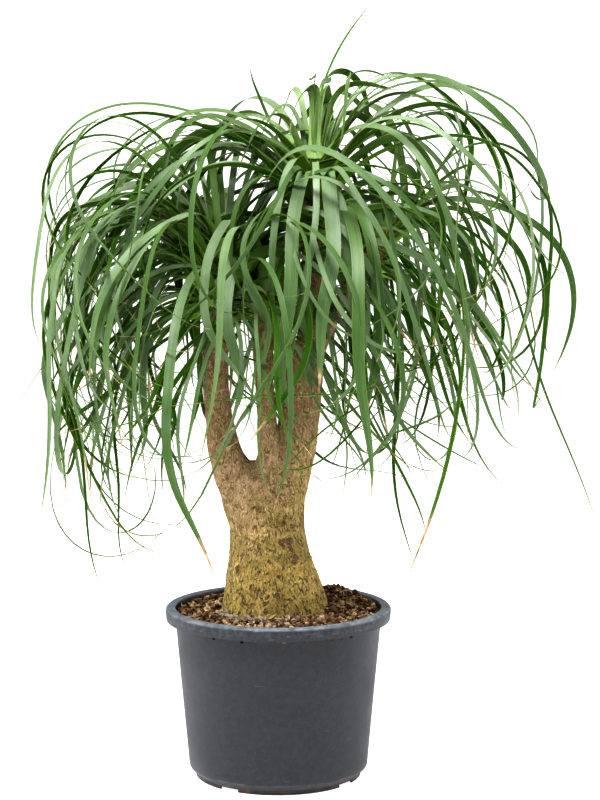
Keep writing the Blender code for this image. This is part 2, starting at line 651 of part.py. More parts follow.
def arched_points(crown, heading_deg, rise_deg, length, sway_deg):
    """Points of a leaf that rises, arches over and hangs under its own weight."""
    low, high, _ = CROWNS[crown]
    place = low.lerp(high, 0.6)
    step = length / ARCH_POINTS
    points = []
    for index in range(ARCH_POINTS):
        share = (index + 0.5) / ARCH_POINTS
        bend = min(share / 0.72, 1.0)
        bend = bend * bend * (3.0 - 2.0 * bend)
        pitch = math.radians(rise_deg + (ARCH_FALL_DEG - rise_deg) * bend)
        heading = math.radians(heading_deg + sway_deg * share * share)
        forward = Vector((math.cos(heading), math.sin(heading), 0.0)) * math.cos(pitch)
        place = place + (forward + Vector((0.0, 0.0, math.sin(pitch)))) * step
        points.append(place)
    return points


def leaf_orders():
    """Every leaf as crown, lift, width, twist and points: first those set one by one."""
    orders = []
    for crown, rows in SET_LEAVES.items():
        for lift, width_mm, twist_deg, *points in rows:
            orders.append((crown, lift, width_mm / 1000, twist_deg, points))
    chance = random.Random(ARCH_SEED)
    for crown, count, first_deg, last_deg, rise_deg, length in ARCHED_LEAVES:
        for index in range(count):
            share = index / max(count - 1, 1)
            heading = first_deg + (last_deg - first_deg) * share + chance.uniform(-6.0, 6.0)
            rise = rise_deg + chance.uniform(-14.0, 14.0)
            reach = length * chance.uniform(0.88, 1.14)
            sway = chance.uniform(-22.0, 22.0)
            lift = 0.25 + 0.6 * ((index * 0.618) % 1.0)
            width = chance.uniform(0.013, 0.018)
            points = arched_points(crown, heading, rise, reach, sway)
            orders.append((crown, lift, width, chance.uniform(-25.0, 25.0), points))
    return orders


def build_leaves(parts, neighbours):
    bpy.context.view_layer.update()
    graph = bpy.context.evaluated_depsgraph_get()
    placed = []
    for item in neighbours:
        mesh = bpy.data.meshes.new_from_object(item.evaluated_get(graph))
        placed.append(tree_of(mesh))
        bpy.data.meshes.remove(mesh)
    counts = {crown: 0 for crown in CROWNS}
    for crown, lift, width, twist_deg, points in leaf_orders():
        counts[crown] += 1
        name = f"{crown}_leaf_{counts[crown]:02d}"
        mesh = hang_clear(name, crown, lift, width, twist_deg, points, placed)
        mesh.shade_smooth()
        placed.append(tree_of(mesh))
        add_object(parts, name, mesh, "leaf_blade")


clear_scene()
part_group = make_collection("potted_ponytail_palm")
cutter_group = make_collection("cutters")
pot_object = build_pot(part_group, cutter_group)
soil_object = build_soil(part_group, cutter_group)
trunk_object = build_trunk(part_group, cutter_group)
build_leaves(part_group, (pot_object, soil_object, trunk_object))
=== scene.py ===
"""A ponytail palm with a branched trunk, growing in a dark grey nursery pot.

Metres, +Z up, the plant's front towards -Y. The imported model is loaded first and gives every
place; the pieces follow in the order in which the plant is potted: pot, trunk, soil, leaves.
"""

import random
from math import atan2, cos, exp, radians, sin, sqrt, tau

import bmesh
import bpy
import numpy as np
from mathutils import Euler, Matrix, Vector
from mathutils.bvhtree import BVHTree
from mathutils.noise import noise, noise_vector, seed_set


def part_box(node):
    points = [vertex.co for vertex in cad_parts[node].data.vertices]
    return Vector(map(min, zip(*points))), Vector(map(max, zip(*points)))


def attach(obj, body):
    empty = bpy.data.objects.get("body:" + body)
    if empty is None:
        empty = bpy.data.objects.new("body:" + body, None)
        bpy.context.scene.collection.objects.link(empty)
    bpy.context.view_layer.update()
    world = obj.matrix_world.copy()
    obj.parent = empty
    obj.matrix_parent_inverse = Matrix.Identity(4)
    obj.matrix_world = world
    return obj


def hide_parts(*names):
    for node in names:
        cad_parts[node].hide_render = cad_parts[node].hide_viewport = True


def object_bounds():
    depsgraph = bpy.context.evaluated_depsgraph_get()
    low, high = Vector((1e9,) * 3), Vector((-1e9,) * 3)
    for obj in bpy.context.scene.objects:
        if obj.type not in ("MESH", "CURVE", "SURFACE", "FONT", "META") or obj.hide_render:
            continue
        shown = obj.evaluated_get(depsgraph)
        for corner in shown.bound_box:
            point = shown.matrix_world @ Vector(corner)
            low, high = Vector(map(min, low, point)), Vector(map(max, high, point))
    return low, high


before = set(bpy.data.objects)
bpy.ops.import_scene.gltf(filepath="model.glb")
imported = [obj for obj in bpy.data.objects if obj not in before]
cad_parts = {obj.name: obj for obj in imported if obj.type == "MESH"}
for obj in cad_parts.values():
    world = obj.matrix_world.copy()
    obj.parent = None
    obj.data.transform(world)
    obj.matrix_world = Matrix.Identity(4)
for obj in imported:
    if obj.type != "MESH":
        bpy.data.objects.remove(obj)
cad_box = [list(corner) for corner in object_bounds()]


# --- Nursery pot ---
# A round container injection moulded in dark grey recycled polypropylene, 2 mm thick. Its rim
# is folded outwards and down, and its foot ring is notched so that water runs out.

POT_SIDES = 128
POT_WALL = 0.002
INNER_ROUND = 0.0016
RIM_ROUND = 0.0045
RIM_BAND = 0.0174
RIM_TAPER = 0.0012
FOOT_CHAMFER = 0.014
FOOT_RING = 0.0035
BASE_LIFT = 0.005
PAD_RADIUS = 0.03
DRAIN_CIRCLE = 0.088
WALL_INSET = 0.012  # from the rim's edge in to the wall
CHAMFER_INSET = 0.032  # from the rim's edge in to the foot of the wall
FOOT_INSET = 0.041  # from the rim's edge in to the foot ring
WARP = 0.0004  # how far the moulding has pulled out of round

pot_low, pot_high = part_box("nursery_pot")
pot_radius = (pot_high.x - pot_low.x) / 2
pot_height = pot_high.z


def pick(*pieces):
    """Select these pieces and no others, with the first one active."""
    bpy.ops.object.select_all(action="DESELECT")
    for piece in pieces:
        piece.select_set(True)
    bpy.context.view_layer.objects.active = pieces[0]


def add_body(kind, **sizes):
    """A new circle, cube or other simple body, selected alone."""
    bpy.ops.object.select_all(action="DESELECT")
    getattr(bpy.ops.mesh, f"primitive_{kind}_add")(**sizes)
    return bpy.context.object


def add_piece(name, mesh):
    """A new piece in the scene, from a ready mesh."""
    piece = bpy.data.objects.new(name, mesh)
    bpy.context.scene.collection.objects.link(piece)
    return piece


def open_mesh():
    """Edit the active piece's mesh, with all of it selected."""
    bpy.ops.object.mode_set(mode="EDIT")
    bpy.ops.mesh.select_all(action="SELECT")


def close_mesh():
    bpy.ops.object.mode_set(mode="OBJECT")


def throw_away(piece):
    bpy.data.objects.remove(piece, do_unlink=True)


def apply_modifiers(piece):
    pick(piece)
    for modifier in list(piece.modifiers):
        bpy.ops.object.modifier_apply(modifier=modifier.name)


def place_in_mesh(piece):
    """Put the piece's place and turn into its mesh, so that the object sits at the origin."""
    pick(piece)
    bpy.ops.object.transform_apply(location=True, rotation=True, scale=True)


def quarter_turn(middle, radius, first_deg, last_deg, count):
    """Points of a rounded corner in the pot's section, as radius and height."""
    points = []
    for step in range(count):
        angle = radians(first_deg + (last_deg - first_deg) * step / (count - 1))
        points.append((middle[0] + radius * cos(angle), middle[1] + radius * sin(angle)))
    return points


def pot_section():
    """From the floor up the inside, over the rim, down the outside and under the base."""
    rim_foot = pot_height - RIM_BAND
    wall_top = pot_radius - WALL_INSET
    wall_foot = pot_radius - CHAMFER_INSET
    foot = pot_radius - FOOT_INSET
    band = pot_radius - RIM_TAPER
    inner_round = (wall_top - POT_WALL + INNER_ROUND, pot_height - INNER_ROUND)
    outer_round = (pot_radius - RIM_ROUND, pot_height - RIM_ROUND)

    def on_wall(share, inwards):
        radius = wall_foot + (wall_top - wall_foot) * share - inwards
        return radius, FOOT_CHAMFER + (pot_height - FOOT_CHAMFER) * share

    section = [(foot - POT_WALL, BASE_LIFT + 0.0025), (wall_foot - POT_WALL, FOOT_CHAMFER)]
    section += [on_wall(share, POT_WALL) for share in (0.25, 0.5, 0.75)]
    section += quarter_turn(inner_round, INNER_ROUND, 180, 90, 5)
    section += quarter_turn(outer_round, RIM_ROUND, 90, 0, 8)
    section += [(pot_radius - 0.0004, pot_height - 0.01), (band, rim_foot + 0.0008)]
    section += [(band - 0.0005, rim_foot), (band - POT_WALL, rim_foot)]
    section += [(pot_radius - POT_WALL, pot_height - RIM_ROUND)]
    section += [(radius, pot_height - POT_WALL) for radius in (pot_radius - RIM_ROUND, wall_top + 0.001)]
    section += [on_wall(share, 0) for share in (0.97, 0.75, 0.5, 0.25, 0.06)]
    section += [(wall_foot + 0.0002, FOOT_CHAMFER + 0.0012), (wall_foot - 0.0008, FOOT_CHAMFER - 0.001)]
    section += [(foot + 0.0006, BASE_LIFT + 0.0006), (foot, BASE_LIFT - 0.0006), (foot, 0.0006)]
    section += [(foot - 0.0006, 0), (foot - FOOT_RING, 0), (foot - FOOT_RING, BASE_LIFT)]
    section += [(PAD_RADIUS, BASE_LIFT), (PAD_RADIUS - 0.0008, 0)]
    return section


def cut_away(piece, cutters):
    """Join the cutters into one, cut the piece with it, and throw it away."""
    pick(*cutters)
    bpy.ops.object.join()
    cut = piece.modifiers.new("cut", "BOOLEAN")
    cut.operation = "DIFFERENCE"
    cut.solver = "EXACT"
    cut.object = cutters[0]
    apply_modifiers(piece)
    throw_away(cutters[0])


def turn_pot():
    """Draw the section's first ring and extrude it ring by ring into the whole shell."""
    section = pot_section()
    radius, height = section[0]
    pot = add_body("circle", vertices=POT_SIDES, radius=radius, location=(0, 0, height))
    pot.name = "grey_nursery_pot"
    open_mesh()
    bpy.ops.mesh.edge_face_add()
    bpy.ops.mesh.select_mode(type="EDGE")
    for next_radius, next_height in section[1:]:
        rise = (0, 0, next_height - height)
        bpy.ops.mesh.extrude_edges_move(TRANSFORM_OT_translate={"value": rise})
        spread = next_radius / radius
        bpy.ops.transform.resize(value=(spread, spread, 1))
        radius, height = next_radius, next_height
    bpy.ops.mesh.edge_face_add()
    bpy.ops.mesh.select_all(action="SELECT")
    bpy.ops.mesh.normals_make_consistent(inside=False)
    close_mesh()
    place_in_mesh(pot)
    return pot


def pot_cutters():
    """Four notches in the foot, eight drain holes and six slots left by the mould's slides."""
    cutters = []
    foot = pot_radius - FOOT_INSET - FOOT_RING / 2
    slot_height = pot_height - 0.022
    slot_circle = pot_radius - WALL_INSET - 0.003
    boxes = [(foot, 0.0017, 54 + 90 * step, (0.03, 0.012, 0.005)) for step in range(4)]
    boxes += [
        (slot_circle, slot_height, angle, (0.0046, 0.01, 0.0021))
        for angle in (-37.5, -20, 43.7, 84.5, 150, -140)
    ]
    for radius, height, angle_deg, size in boxes:
        angle = radians(angle_deg)
        place = (radius * sin(angle), -radius * cos(angle), height)
        cutters.append(add_body("cube", size=1, location=place, rotation=(0, 0, angle), scale=size))
    for step in range(8):
        angle = radians(22.5 + 45 * step)
        place = (DRAIN_CIRCLE * sin(angle), -DRAIN_CIRCLE * cos(angle), BASE_LIFT)
        cutters.append(add_body("cylinder", vertices=24, radius=0.006, depth=0.02, location=place))
    return cutters


pot = turn_pot()
cut_away(pot, pot_cutters())
for vertex in pot.data.vertices:
    turn = atan2(vertex.co.y, vertex.co.x)
    height = vertex.co.z / pot_height
    pull = WARP * height * (sin(2 * turn + 0.6) + 0.4 * sin(5 * turn + 9 * height)) - WARP
    vertex.co.xy *= 1 + pull / pot_radius
pick(pot)
bpy.ops.object.shade_smooth_by_angle(angle=radians(38))


def colour(red, green, blue):
    """A paint colour in the usual 0 to 255 steps, as the linear light that shaders use."""
    parts = []
    for step in (red, green, blue):
        share = step / 255
        parts.append(share / 12.92 if share <= 0.04045 else ((share + 0.055) / 1.055) ** 2.4)
    return (*parts, 1)


def new_finish(name, roughness):
    """A material with its shader ready; returns the material, its tree and the shader."""
    finish = bpy.data.materials.new(name)
    finish.use_nodes = True
    shader = finish.node_tree.nodes["Principled BSDF"]
    shader.inputs["Roughness"].default_value = roughness
    return finish, finish.node_tree, shader


def add_node(kind, sockets=(), tree=None, **settings):
    """One node, in the tree of the outputs that it is fed with.

    Sockets pairs an input's name or number with a value or with another node's output.
    """
    feeds = [value for value in dict(sockets).values() if isinstance(value, bpy.types.NodeSocket)]
    tree = tree or feeds[0].id_data
    made = tree.nodes.new(f"ShaderNode{kind}")
    for name, value in settings.items():
        setattr(made, name, value)
    for key, value in dict(sockets).items():
        if value in feeds:
            tree.links.new(value, made.inputs[key])
        else:
            made.inputs[key].default_value = value
    return made


def object_place(tree, stretch=(1, 1, 1), turn=(0, 0, 0)):
    """Where on the object a point is, stretched and turned for a pattern."""
    where = add_node("TexCoord", tree=tree).outputs["Object"]
    return add_node("Mapping", {"Vector": where, "Rotation": turn, "Scale": stretch}).outputs["Vector"]


def speckle(where, scale, detail=3, roughness=0.5, distortion=0):
    """Soft noise from 0 to 1."""
    sockets = {"Vector": where, "Scale": scale, "Detail": detail, "Roughness": roughness}
    sockets["Distortion"] = distortion
    return add_node("TexNoise", sockets).outputs["Fac"]


def shades(amount, *stops):
    """A run of paint colours, each stop a place from 0 to 1 and its red, green and blue."""
    made = add_node("ValToRGB", {"Fac": amount})
    line = made.color_ramp
    for _ in stops[2:]:
        line.elements.new(0.5)
    for element, (place, tint) in zip(line.elements, stops):
        element.position = place
        element.color = colour(*tint)
    return made.outputs["Color"]


def paint(base, amount, tint):
    """The base with a paint colour, or another pattern of colours, laid over it by the amount."""
    if isinstance(tint, tuple):
        tint = colour(*tint)
    return add_node("Mix", {0: amount, 6: base, 7: tint}, data_type="RGBA").outputs[2]


def work_out(how, first, second=0, third=0):
    """A sum, a difference or another simple operation on numbers."""
    return add_node("Math", {0: first, 1: second, 2: third}, operation=how).outputs[0]


def times(first, second):
    return work_out("MULTIPLY", first, second)


def fade(amount, low, high, first=0, last=1):
    """Turn a number that runs from low to high into one from first to last, held at both ends."""
    sockets = {"Value": amount, "From Min": low, "From Max": high, "To Min": first, "To Max": last}
    return add_node("MapRange", sockets).outputs["Result"]


def point_value(tree, name, output="Fac"):
    """A value that the mesh keeps at each of its points."""
    return add_node("Attribute", tree=tree, attribute_name=name).outputs[output]


def dress(shader, base, shine, height, strength, distance):
    """Give the shader its colour, its shine and fine relief from a height pattern."""
    bumps = add_node("Bump", {"Height": height, "Strength": strength, "Distance": distance})
    shader.id_data.links.new(bumps.outputs["Normal"], shader.inputs["Normal"])
    shader.id_data.links.new(base, shader.inputs["Base Color"])
    shader.inputs["Specular IOR Level"].default_value = shine


def rim_scratches(on_rim):
    """Short pale scratches along the rim, where pots are dragged against each other."""
    marks = 0
    for turn in (0.15, -0.35, 0.8):
        where = object_place(on_rim.id_data, (70, 70, 520), (turn, -turn, turn))
        line = fade(speckle(where, 1, 4, 0.6, 0.8), 0.655, 0.7)
        marks = work_out("MAXIMUM", line, marks)
    return times(marks, on_rim)


def pot_plastic():
    """Matt grey plastic with handling scuffs, pale dust on the rim, dirt at the foot and painted
    highlights.
    """
    finish, tree, shader = new_finish("pot_plastic", 0.5)
    plain = object_place(tree)
    height = add_node("SeparateXYZ", {0: plain}).outputs["Z"]
    clouds = speckle(plain, 14, 4, 0.6)
    base = shades(clouds, (0.3, (38, 40, 45)), (0.7, (42, 44, 49)))
    grain = speckle(plain, 900, 2)
    base = paint(base, fade(grain, 0.35, 0.75, 0, 0.3), (60, 64, 69))
    # Scuffs run every way: three thin stretched patterns, each turned differently.
    scuffs = 0
    for turn, reach in ((0.5, 0.74), (1.7, 0.75), (2.6, 0.76)):
        where = object_place(tree, (40, 40, 420), (turn, turn * 0.7, turn * 1.3))
        line = fade(speckle(where, 1, 5, 0.55, 0.4), reach - 0.04, reach)
        scuffs = work_out("MAXIMUM", line, scuffs)
    on_rim = fade(height, pot_height - 0.019, pot_height - 0.01)
    patch = fade(speckle(plain, 38, 3), 0.45, 0.62)
    wear = times(scuffs, fade(patch, 0, 1, 0.02, 0.22))
    wear = work_out("MAXIMUM", wear, times(rim_scratches(on_rim), 0.75))
    base = paint(base, wear, (112, 114, 117))
    dust = fade(speckle(plain, 110, 6, 0.7), 0.42, 0.72)
    dust = times(dust, fade(on_rim, 0, 1, 0.05, 0.22))
    base = paint(base, dust, (122, 126, 130))
    # Painted highlight: the rim's top edge is painted pale bluish grey in patches, where the light from
    # above catches it.
    highlit_top_edge = fade(height, pot_height - 0.004, pot_height - 0.001)
    highlight_patches = fade(speckle(plain, 80, 5, 0.65), 0.36, 0.64, 0.2, 0.6)
    base = paint(base, times(highlit_top_edge, highlight_patches), (156, 165, 176))
    # A pale line round the corner above the foot: partly wear where pots stand nested, partly a painted
    # highlight on the edge.
    corner = work_out("ABSOLUTE", work_out("SUBTRACT", height, FOOT_CHAMFER + 0.0005))
    edge_highlight_and_wear = fade(corner, 0.0016, 0.0004)
    edge_highlight_and_wear = times(edge_highlight_and_wear, fade(patch, 0, 1, 0.05, 0.4))
    base = paint(base, edge_highlight_and_wear, (104, 107, 111))
    foot = fade(height, 0.0145, 0.002)
    dirt = times(foot, fade(speckle(plain, 70, 4), 0.4, 0.62))
    base = paint(base, dirt, (78, 60, 46))
    rough = fade(clouds, 0.3, 0.7, 0.44, 0.6)
    tree.links.new(work_out("ADD", rough, times(dust, 0.25)), shader.inputs["Roughness"])
    dress(shader, base, 0.3, work_out("ADD", grain, times(scuffs, 0.6)), 0.25, 0.0006)
    return finish


pot.data.materials.append(pot_plastic())
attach(pot, "root")
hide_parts("nursery_pot")


# --- Trunk ---
# One piece of living wood: a swollen foot that forks into four limbs. The corky bark is split
# all over by short upright fissures, olive on the foot; painted shade darkens it brown up the limbs.

BARK_VOXEL = 0.0023
FISSURE_DEPTH = 0.0016
FISSURE_SPACING = 0.0062
FISSURE_LENGTH = 3.4  # times the spacing
SCAB_SIZE = 0.0035
SAME_PLACE = 0.00002  # two corners nearer than this are one


def merged_copy(name, node_name):
    """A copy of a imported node's mesh as a new object, with its loose triangles joined up."""
    piece = add_piece(name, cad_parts[node_name].data.copy())
    piece.data.materials.clear()
    pick(piece)
    open_mesh()
    bpy.ops.mesh.remove_doubles(threshold=SAME_PLACE)
    close_mesh()
    return piece


def ridged(place, octaves):
    """Sharp crests where a soft noise crosses zero: 1 on a crest, falling away from it."""
    total, weight, size = 0, 0, 1
    for _ in range(octaves):
        total += size * (1 - min(abs(noise(place)) * 2.4, 1))
        weight += size
        place = place * 2.03
        size *= 0.5
    return total / weight


def bark_height(place):
    """How far the bark stands out at a place, in metres, and how deep in a fissure it is, 0 to 1."""
    up = (place.z - 0.24) / 0.25
    lean = 0.25 * noise(place * 9)
    wander = noise_vector(place * 60) * 0.35
    across = 1 / FISSURE_SPACING
    along = across / FISSURE_LENGTH
    split = Vector((place.x, place.y, 0)) * across
    split += Vector((lean, -lean, 1)) * place.z * along
    crack = ridged(split + wander, 2)
    second = ridged(split * 0.55 + Vector((7.1, 3.3, 1.7)) - wander, 1)
    deep = max(0, (crack - 0.62) / 0.38) + 0.7 * max(0, (second - 0.8) / 0.2)
    deep = min(deep, 1) * (0.45 + 0.55 * noise(place * 40 + Vector((5, 1, 9))) + 0.25)
    deep = min(max(deep, 0), 1)
    swell = 0.0012 * noise(place * 34) + 0.0022 * noise(place * 13)
    swell += 0.0005 * noise(place * 150)
    limb_fade = 1 - 0.45 * min(max(up, 0), 1)
    return swell * limb_fade - FISSURE_DEPTH * deep * limb_fade, deep


def grow_bark(trunk):
    """Lift and split the surface, and keep how deep each point lies for the material."""
    mesh = trunk.data
    depths = mesh.attributes.new("fissure", "FLOAT", "POINT")
    scabs = mesh.attributes.new("scab", "FLOAT", "POINT")
    smooth_tree = BVHTree.FromObject(trunk, bpy.context.evaluated_depsgraph_get())
    seats = [smooth_tree.find_nearest(Vector(seat))[0] for seat in SCAB_SEATS]
    outward = [vertex.normal.copy() for vertex in mesh.vertices]
    for index, vertex in enumerate(mesh.vertices):
        place = vertex.co.copy()
        height, deep = bark_height(place)
        scab = 0
        for number, seat in enumerate(seats):
            reach = (place - seat).length / (SCAB_SIZE * (0.7 + 0.18 * (number % 4)))
            reach += 0.6 * noise(place * 330)
            scab = max(scab, min(max(1.35 - reach, 0) * 2, 1))
        height += 0.0022 * scab * (1 + 0.5 * noise(place * 500))
        depths.data[index].value = deep * (1 - scab)
        scabs.data[index].value = scab
        vertex.co = place + outward[index] * height


# Where old side shoots broke off and healed over, most of them on the foot's front.
SCAB_SEATS = (
    (0.0106, -0.052, 0.357),
    (0.024, -0.046, 0.352),
    (0.0053, -0.054, 0.332),
    (0.0186, -0.052, 0.333),
    (0.0093, -0.055, 0.326),
    (0.0212, -0.053, 0.322),
    (0.029, -0.05, 0.312),
    (0.025, -0.052, 0.307),
    (0.0013, -0.062, 0.286),
    (-0.05, -0.034, 0.292),
    (0.052, 0.02, 0.3),
    (-0.03, 0.05, 0.32),
    (0.01, 0.06, 0.27),
)

# Wood that fills the narrow fork between the left and the middle limb: place and half sizes.
FORK_FILLS = (
    ((-0.0475, -0.003, 0.43), (0.008, 0.011, 0.014)),
    ((-0.024, -0.014, 0.432), (0.0065, 0.012, 0.014)),
    ((-0.035, -0.006, 0.422), (0.013, 0.017, 0.009)),
)

# A set seed, so that the bark's noise falls the same way each time.
seed_set(3)
trunk = merged_copy("forked_trunk", "trunk")
for middle, half_sizes in FORK_FILLS:
    fill = add_body("uv_sphere", segments=24, ring_count=12, radius=1, location=middle)
    fill.scale = half_sizes
    place_in_mesh(fill)
    pick(trunk, fill)
    bpy.ops.object.join()
skin = trunk.modifiers.new("skin", "REMESH")
skin.mode = "VOXEL"
skin.voxel_size = BARK_VOXEL
blend = trunk.modifiers.new("blend", "SMOOTH")
blend.factor = 0.5
blend.iterations = 14
apply_modifiers(trunk)
grow_bark(trunk)
bpy.ops.object.shade_smooth()


def bark_finish():
    """Olive cork on the foot, painted shade in brown up the limbs, dark in the splits and on the scabs.
    """
    finish, tree, shader = new_finish("corky_bark", 0.86)
    plain = object_place(tree)
    split = add_node("SeparateXYZ", {0: plain})
    drift = times(speckle(plain, 16, 3), 0.16)
    level = work_out("ADD", split.outputs["Z"], drift)
    # The olive cork reaches higher on the right than on the left.
    up = fade(work_out("MULTIPLY_ADD", split.outputs["X"], -0.8, level), 0.4, 0.52)
    patches = speckle(plain, 70, 5, 0.6)
    olive = shades(patches, (0.3, (142, 122, 62)), (0.5, (175, 152, 84)), (0.72, (200, 177, 110)))
    pink = shades(patches, (0.3, (120, 98, 80)), (0.5, (162, 136, 112)), (0.72, (192, 168, 144)))
    base = paint(olive, up, pink)
    # Painted shade: the limbs darken to brown towards the crowns, where the leaves shade them.
    base = paint(base, fade(level, 0.44, 0.62, 0, 0.75), (112, 84, 64))
    # Darker olive green in patches, in a band about the fork and on the lower foot.
    dark_olive = fade(work_out("ABSOLUTE", work_out("SUBTRACT", level, 0.42)), 0.07, 0.02)
    dark_olive = work_out("MAXIMUM", dark_olive, fade(level, 0.34, 0.3, 0, 0.6))
    dark_olive = times(dark_olive, fade(speckle(plain, 36, 4), 0.4, 0.58, 0, 0.75))
    base = paint(base, dark_olive, (108, 102, 38))
    fibres = speckle(object_place(tree, (620, 620, 150)), 1, 3, 0.6)
    base = paint(base, fade(fibres, 0.5, 0.68, 0, 0.45), (206, 184, 134))
    base = paint(base, fade(fibres, 0.48, 0.32, 0, 0.5), (104, 84, 50))
    # Three sizes of upright cracks between the cork's plates, dark in the split, pale on the lips.
    ridges = times(fibres, 0.8)
    for size, slant, dark in ((100, 0.35, 0.85), (165, -0.4, 0.85), (300, 0.15, 0.5)):
        where = object_place(tree, (size, size, size * 0.36), (0, slant, 0))
        bent = add_node("TexNoise", {"Vector": where, "Scale": 0.9, "Detail": 3})
        sockets = {0: where, 1: bent.outputs["Color"]}
        where = add_node("VectorMath", sockets, operation="ADD").outputs["Vector"]
        plates = add_node("TexVoronoi", {"Vector": where, "Scale": 1}, feature="DISTANCE_TO_EDGE")
        edge = plates.outputs["Distance"]
        patch = fade(speckle(plain, size * 0.9, 2), 0.51, 0.57)
        thin = size * 0.0004
        crack = times(fade(edge, thin + 0.05, thin, 0, dark), patch)
        crack = times(crack, fade(up, 0, 1, 1, 0.85))
        lips = times(fade(edge, thin + 0.2, thin + 0.05, 0, 0.45), patch)
        base = paint(base, lips, (206, 182, 128))
        base = paint(base, crack, (62, 46, 28))
        ridges = work_out("ADD", ridges, work_out("SUBTRACT", lips, crack))
    fissure = point_value(tree, "fissure")
    base = paint(base, fade(fissure, 0.1, 0.8, 0, 0.55), (84, 64, 38))
    scab = point_value(tree, "scab")
    crust = shades(speckle(plain, 500, 3), (0.35, (74, 54, 40)), (0.65, (132, 106, 84)))
    base = paint(base, fade(scab, 0.15, 0.5, 0, 0.92), crust)
    dress(shader, base, 0.2, work_out("ADD", ridges, patches), 0.8, 0.0026)
    return finish


trunk.data.materials.append(bark_finish())
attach(trunk, "root")
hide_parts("trunk")


# --- Potting soil ---
# A coarse mix of bark, coir and peat, filled to just under the rim and heaped at the back.
# It is one lumpy bed with loose crumbs, chips and fibres lying on it.

SOIL_SIDES = 200
SOIL_RINGS = 46
BED_DEPTH = 0.012
CRUMB_COUNT = 3400
CLOD_SHARE = 0.025
CHIP_COUNT = 260
FIBRE_COUNT = 90
SOIL_SEED = 5
HEAP_PLACE = (0.08, 0.062)  # behind the trunk on its right
HEAP_HEIGHT = 0.006
HEAP_REACH = 0.03
CRUST = (182, 170, 160)
CRUST_PATCHES = (  # middle, reach and strength, beside the trunk's front
    ((-0.058, -0.05), 0.03, 0.85),
    ((-0.03, -0.07), 0.024, 0.75),
    ((0.014, -0.078), 0.02, 0.6),
)

soil_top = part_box("potting_soil")[1].z
soil_edge = pot_radius - WALL_INSET - POT_WALL - 0.0012
bare_level = pot_height - 0.0105  # the bed's height beside the trunk, where the packed soil ends
soil_shape = merged_copy("soil_shape", "potting_soil")
soil_tree = BVHTree.FromObject(soil_shape, bpy.context.evaluated_depsgraph_get())
trunk_tree = BVHTree.FromObject(trunk, bpy.context.evaluated_depsgraph_get())


def soil_level(x, y):
    """The packed soil's surface under a point, or the bed beside the trunk where that is bare."""
    hit = soil_tree.ray_cast(Vector((x, y, pot_height + 0.1)), Vector((0, 0, -1)))[0]
    if hit is None or hit.z < soil_top - 0.045:
        return bare_level
    away = (Vector((x, y)) - Vector(HEAP_PLACE)).length
    return hit.z + HEAP_HEIGHT * exp(-((away / HEAP_REACH) ** 2))


def soil_bed():
    """A round sheet of rings, laid on the soil's surface and roughened."""
    bed = add_body("circle", vertices=SOIL_SIDES, radius=soil_edge)
    bed.name = "soil_bed"
    open_mesh()
    bpy.ops.mesh.select_mode(type="EDGE")
    radius = soil_edge
    for ring in range(1, SOIL_RINGS):
        next_radius = soil_edge * (1 - ring / SOIL_RINGS)
        bpy.ops.mesh.extrude_edges_move(TRANSFORM_OT_translate={"value": (0, 0, 0)})
        bpy.ops.transform.resize(value=(next_radius / radius, next_radius / radius, 1))
        radius = next_radius
    bpy.ops.mesh.edge_face_add()
    close_mesh()
    for vertex in bed.data.vertices:
        x, y = vertex.co.xy
        rough = 0.003 * noise(Vector((x, y, 0)) * 90)
        rough += 0.0022 * noise(Vector((x, y, 3)) * 210)
        rough += 0.003 * noise(Vector((x, y, 7)) * 28)
        vertex.co.z = soil_level(x, y) + rough
    drop = bed.modifiers.new("depth", "SOLIDIFY")
    drop.thickness = BED_DEPTH
    drop.offset = -1
    apply_modifiers(bed)
    bpy.ops.object.shade_smooth()
    return bed


def crumb_shape(seed, squash):
    """One crumb: a small faceted ball, dented by noise, as corners and faces."""
    ball = add_body("ico_sphere", subdivisions=2 if squash > 0.6 else 1, radius=1)
    corners = []
    for vertex in ball.data.vertices:
        dent = 1 + 0.42 * noise(vertex.co * 1.1 + Vector((seed * 3.7, 0, 0)))
        dent += 0.2 * noise(vertex.co * 2.7 + Vector((0, seed * 2.3, 0)))
        corners.append(vertex.co * dent * Vector((1, 0.82, squash)))
    faces = [tuple(face.vertices) for face in ball.data.polygons]
    throw_away(ball)
    return np.array(corners), np.array(faces)


def gather(name, shapes, places):
    """Many small bodies in one mesh; each place is a shape's number, a matrix and a paleness."""
    corners, faces, tones, start = [], [], [], 0
    for number, matrix, tone in places:
        shape, sides = shapes[number]
        corners.append(shape @ np.array(matrix.to_3x3()).T + np.array(matrix.translation))
        faces.append(sides + start)
        tones.append(np.full(len(shape), tone))
        start += len(shape)
    mesh = bpy.data.meshes.new(name)
    sides = [side for part in faces for side in part.tolist()]
    mesh.from_pydata(np.concatenate(corners).tolist(), [], sides)
    shade = mesh.attributes.new("shade", "FLOAT", "POINT")
    shade.data.foreach_set("value", np.concatenate(tones))
    return add_piece(name, mesh)


def free_soil_place(chance):
    """A point on the soil, between the trunk and the pot's wall."""
    while True:
        radius = soil_edge * sqrt(chance.uniform(0.12, 0.985))
        turn = chance.uniform(0, tau)
        x, y = radius * cos(turn), radius * sin(turn)
        place = Vector((x, y, soil_level(x, y)))
        if trunk_tree.ray_cast(place + Vector((0, 0, 0.2)), Vector((0, 0, -1)), 0.2)[0] is None:
            return place


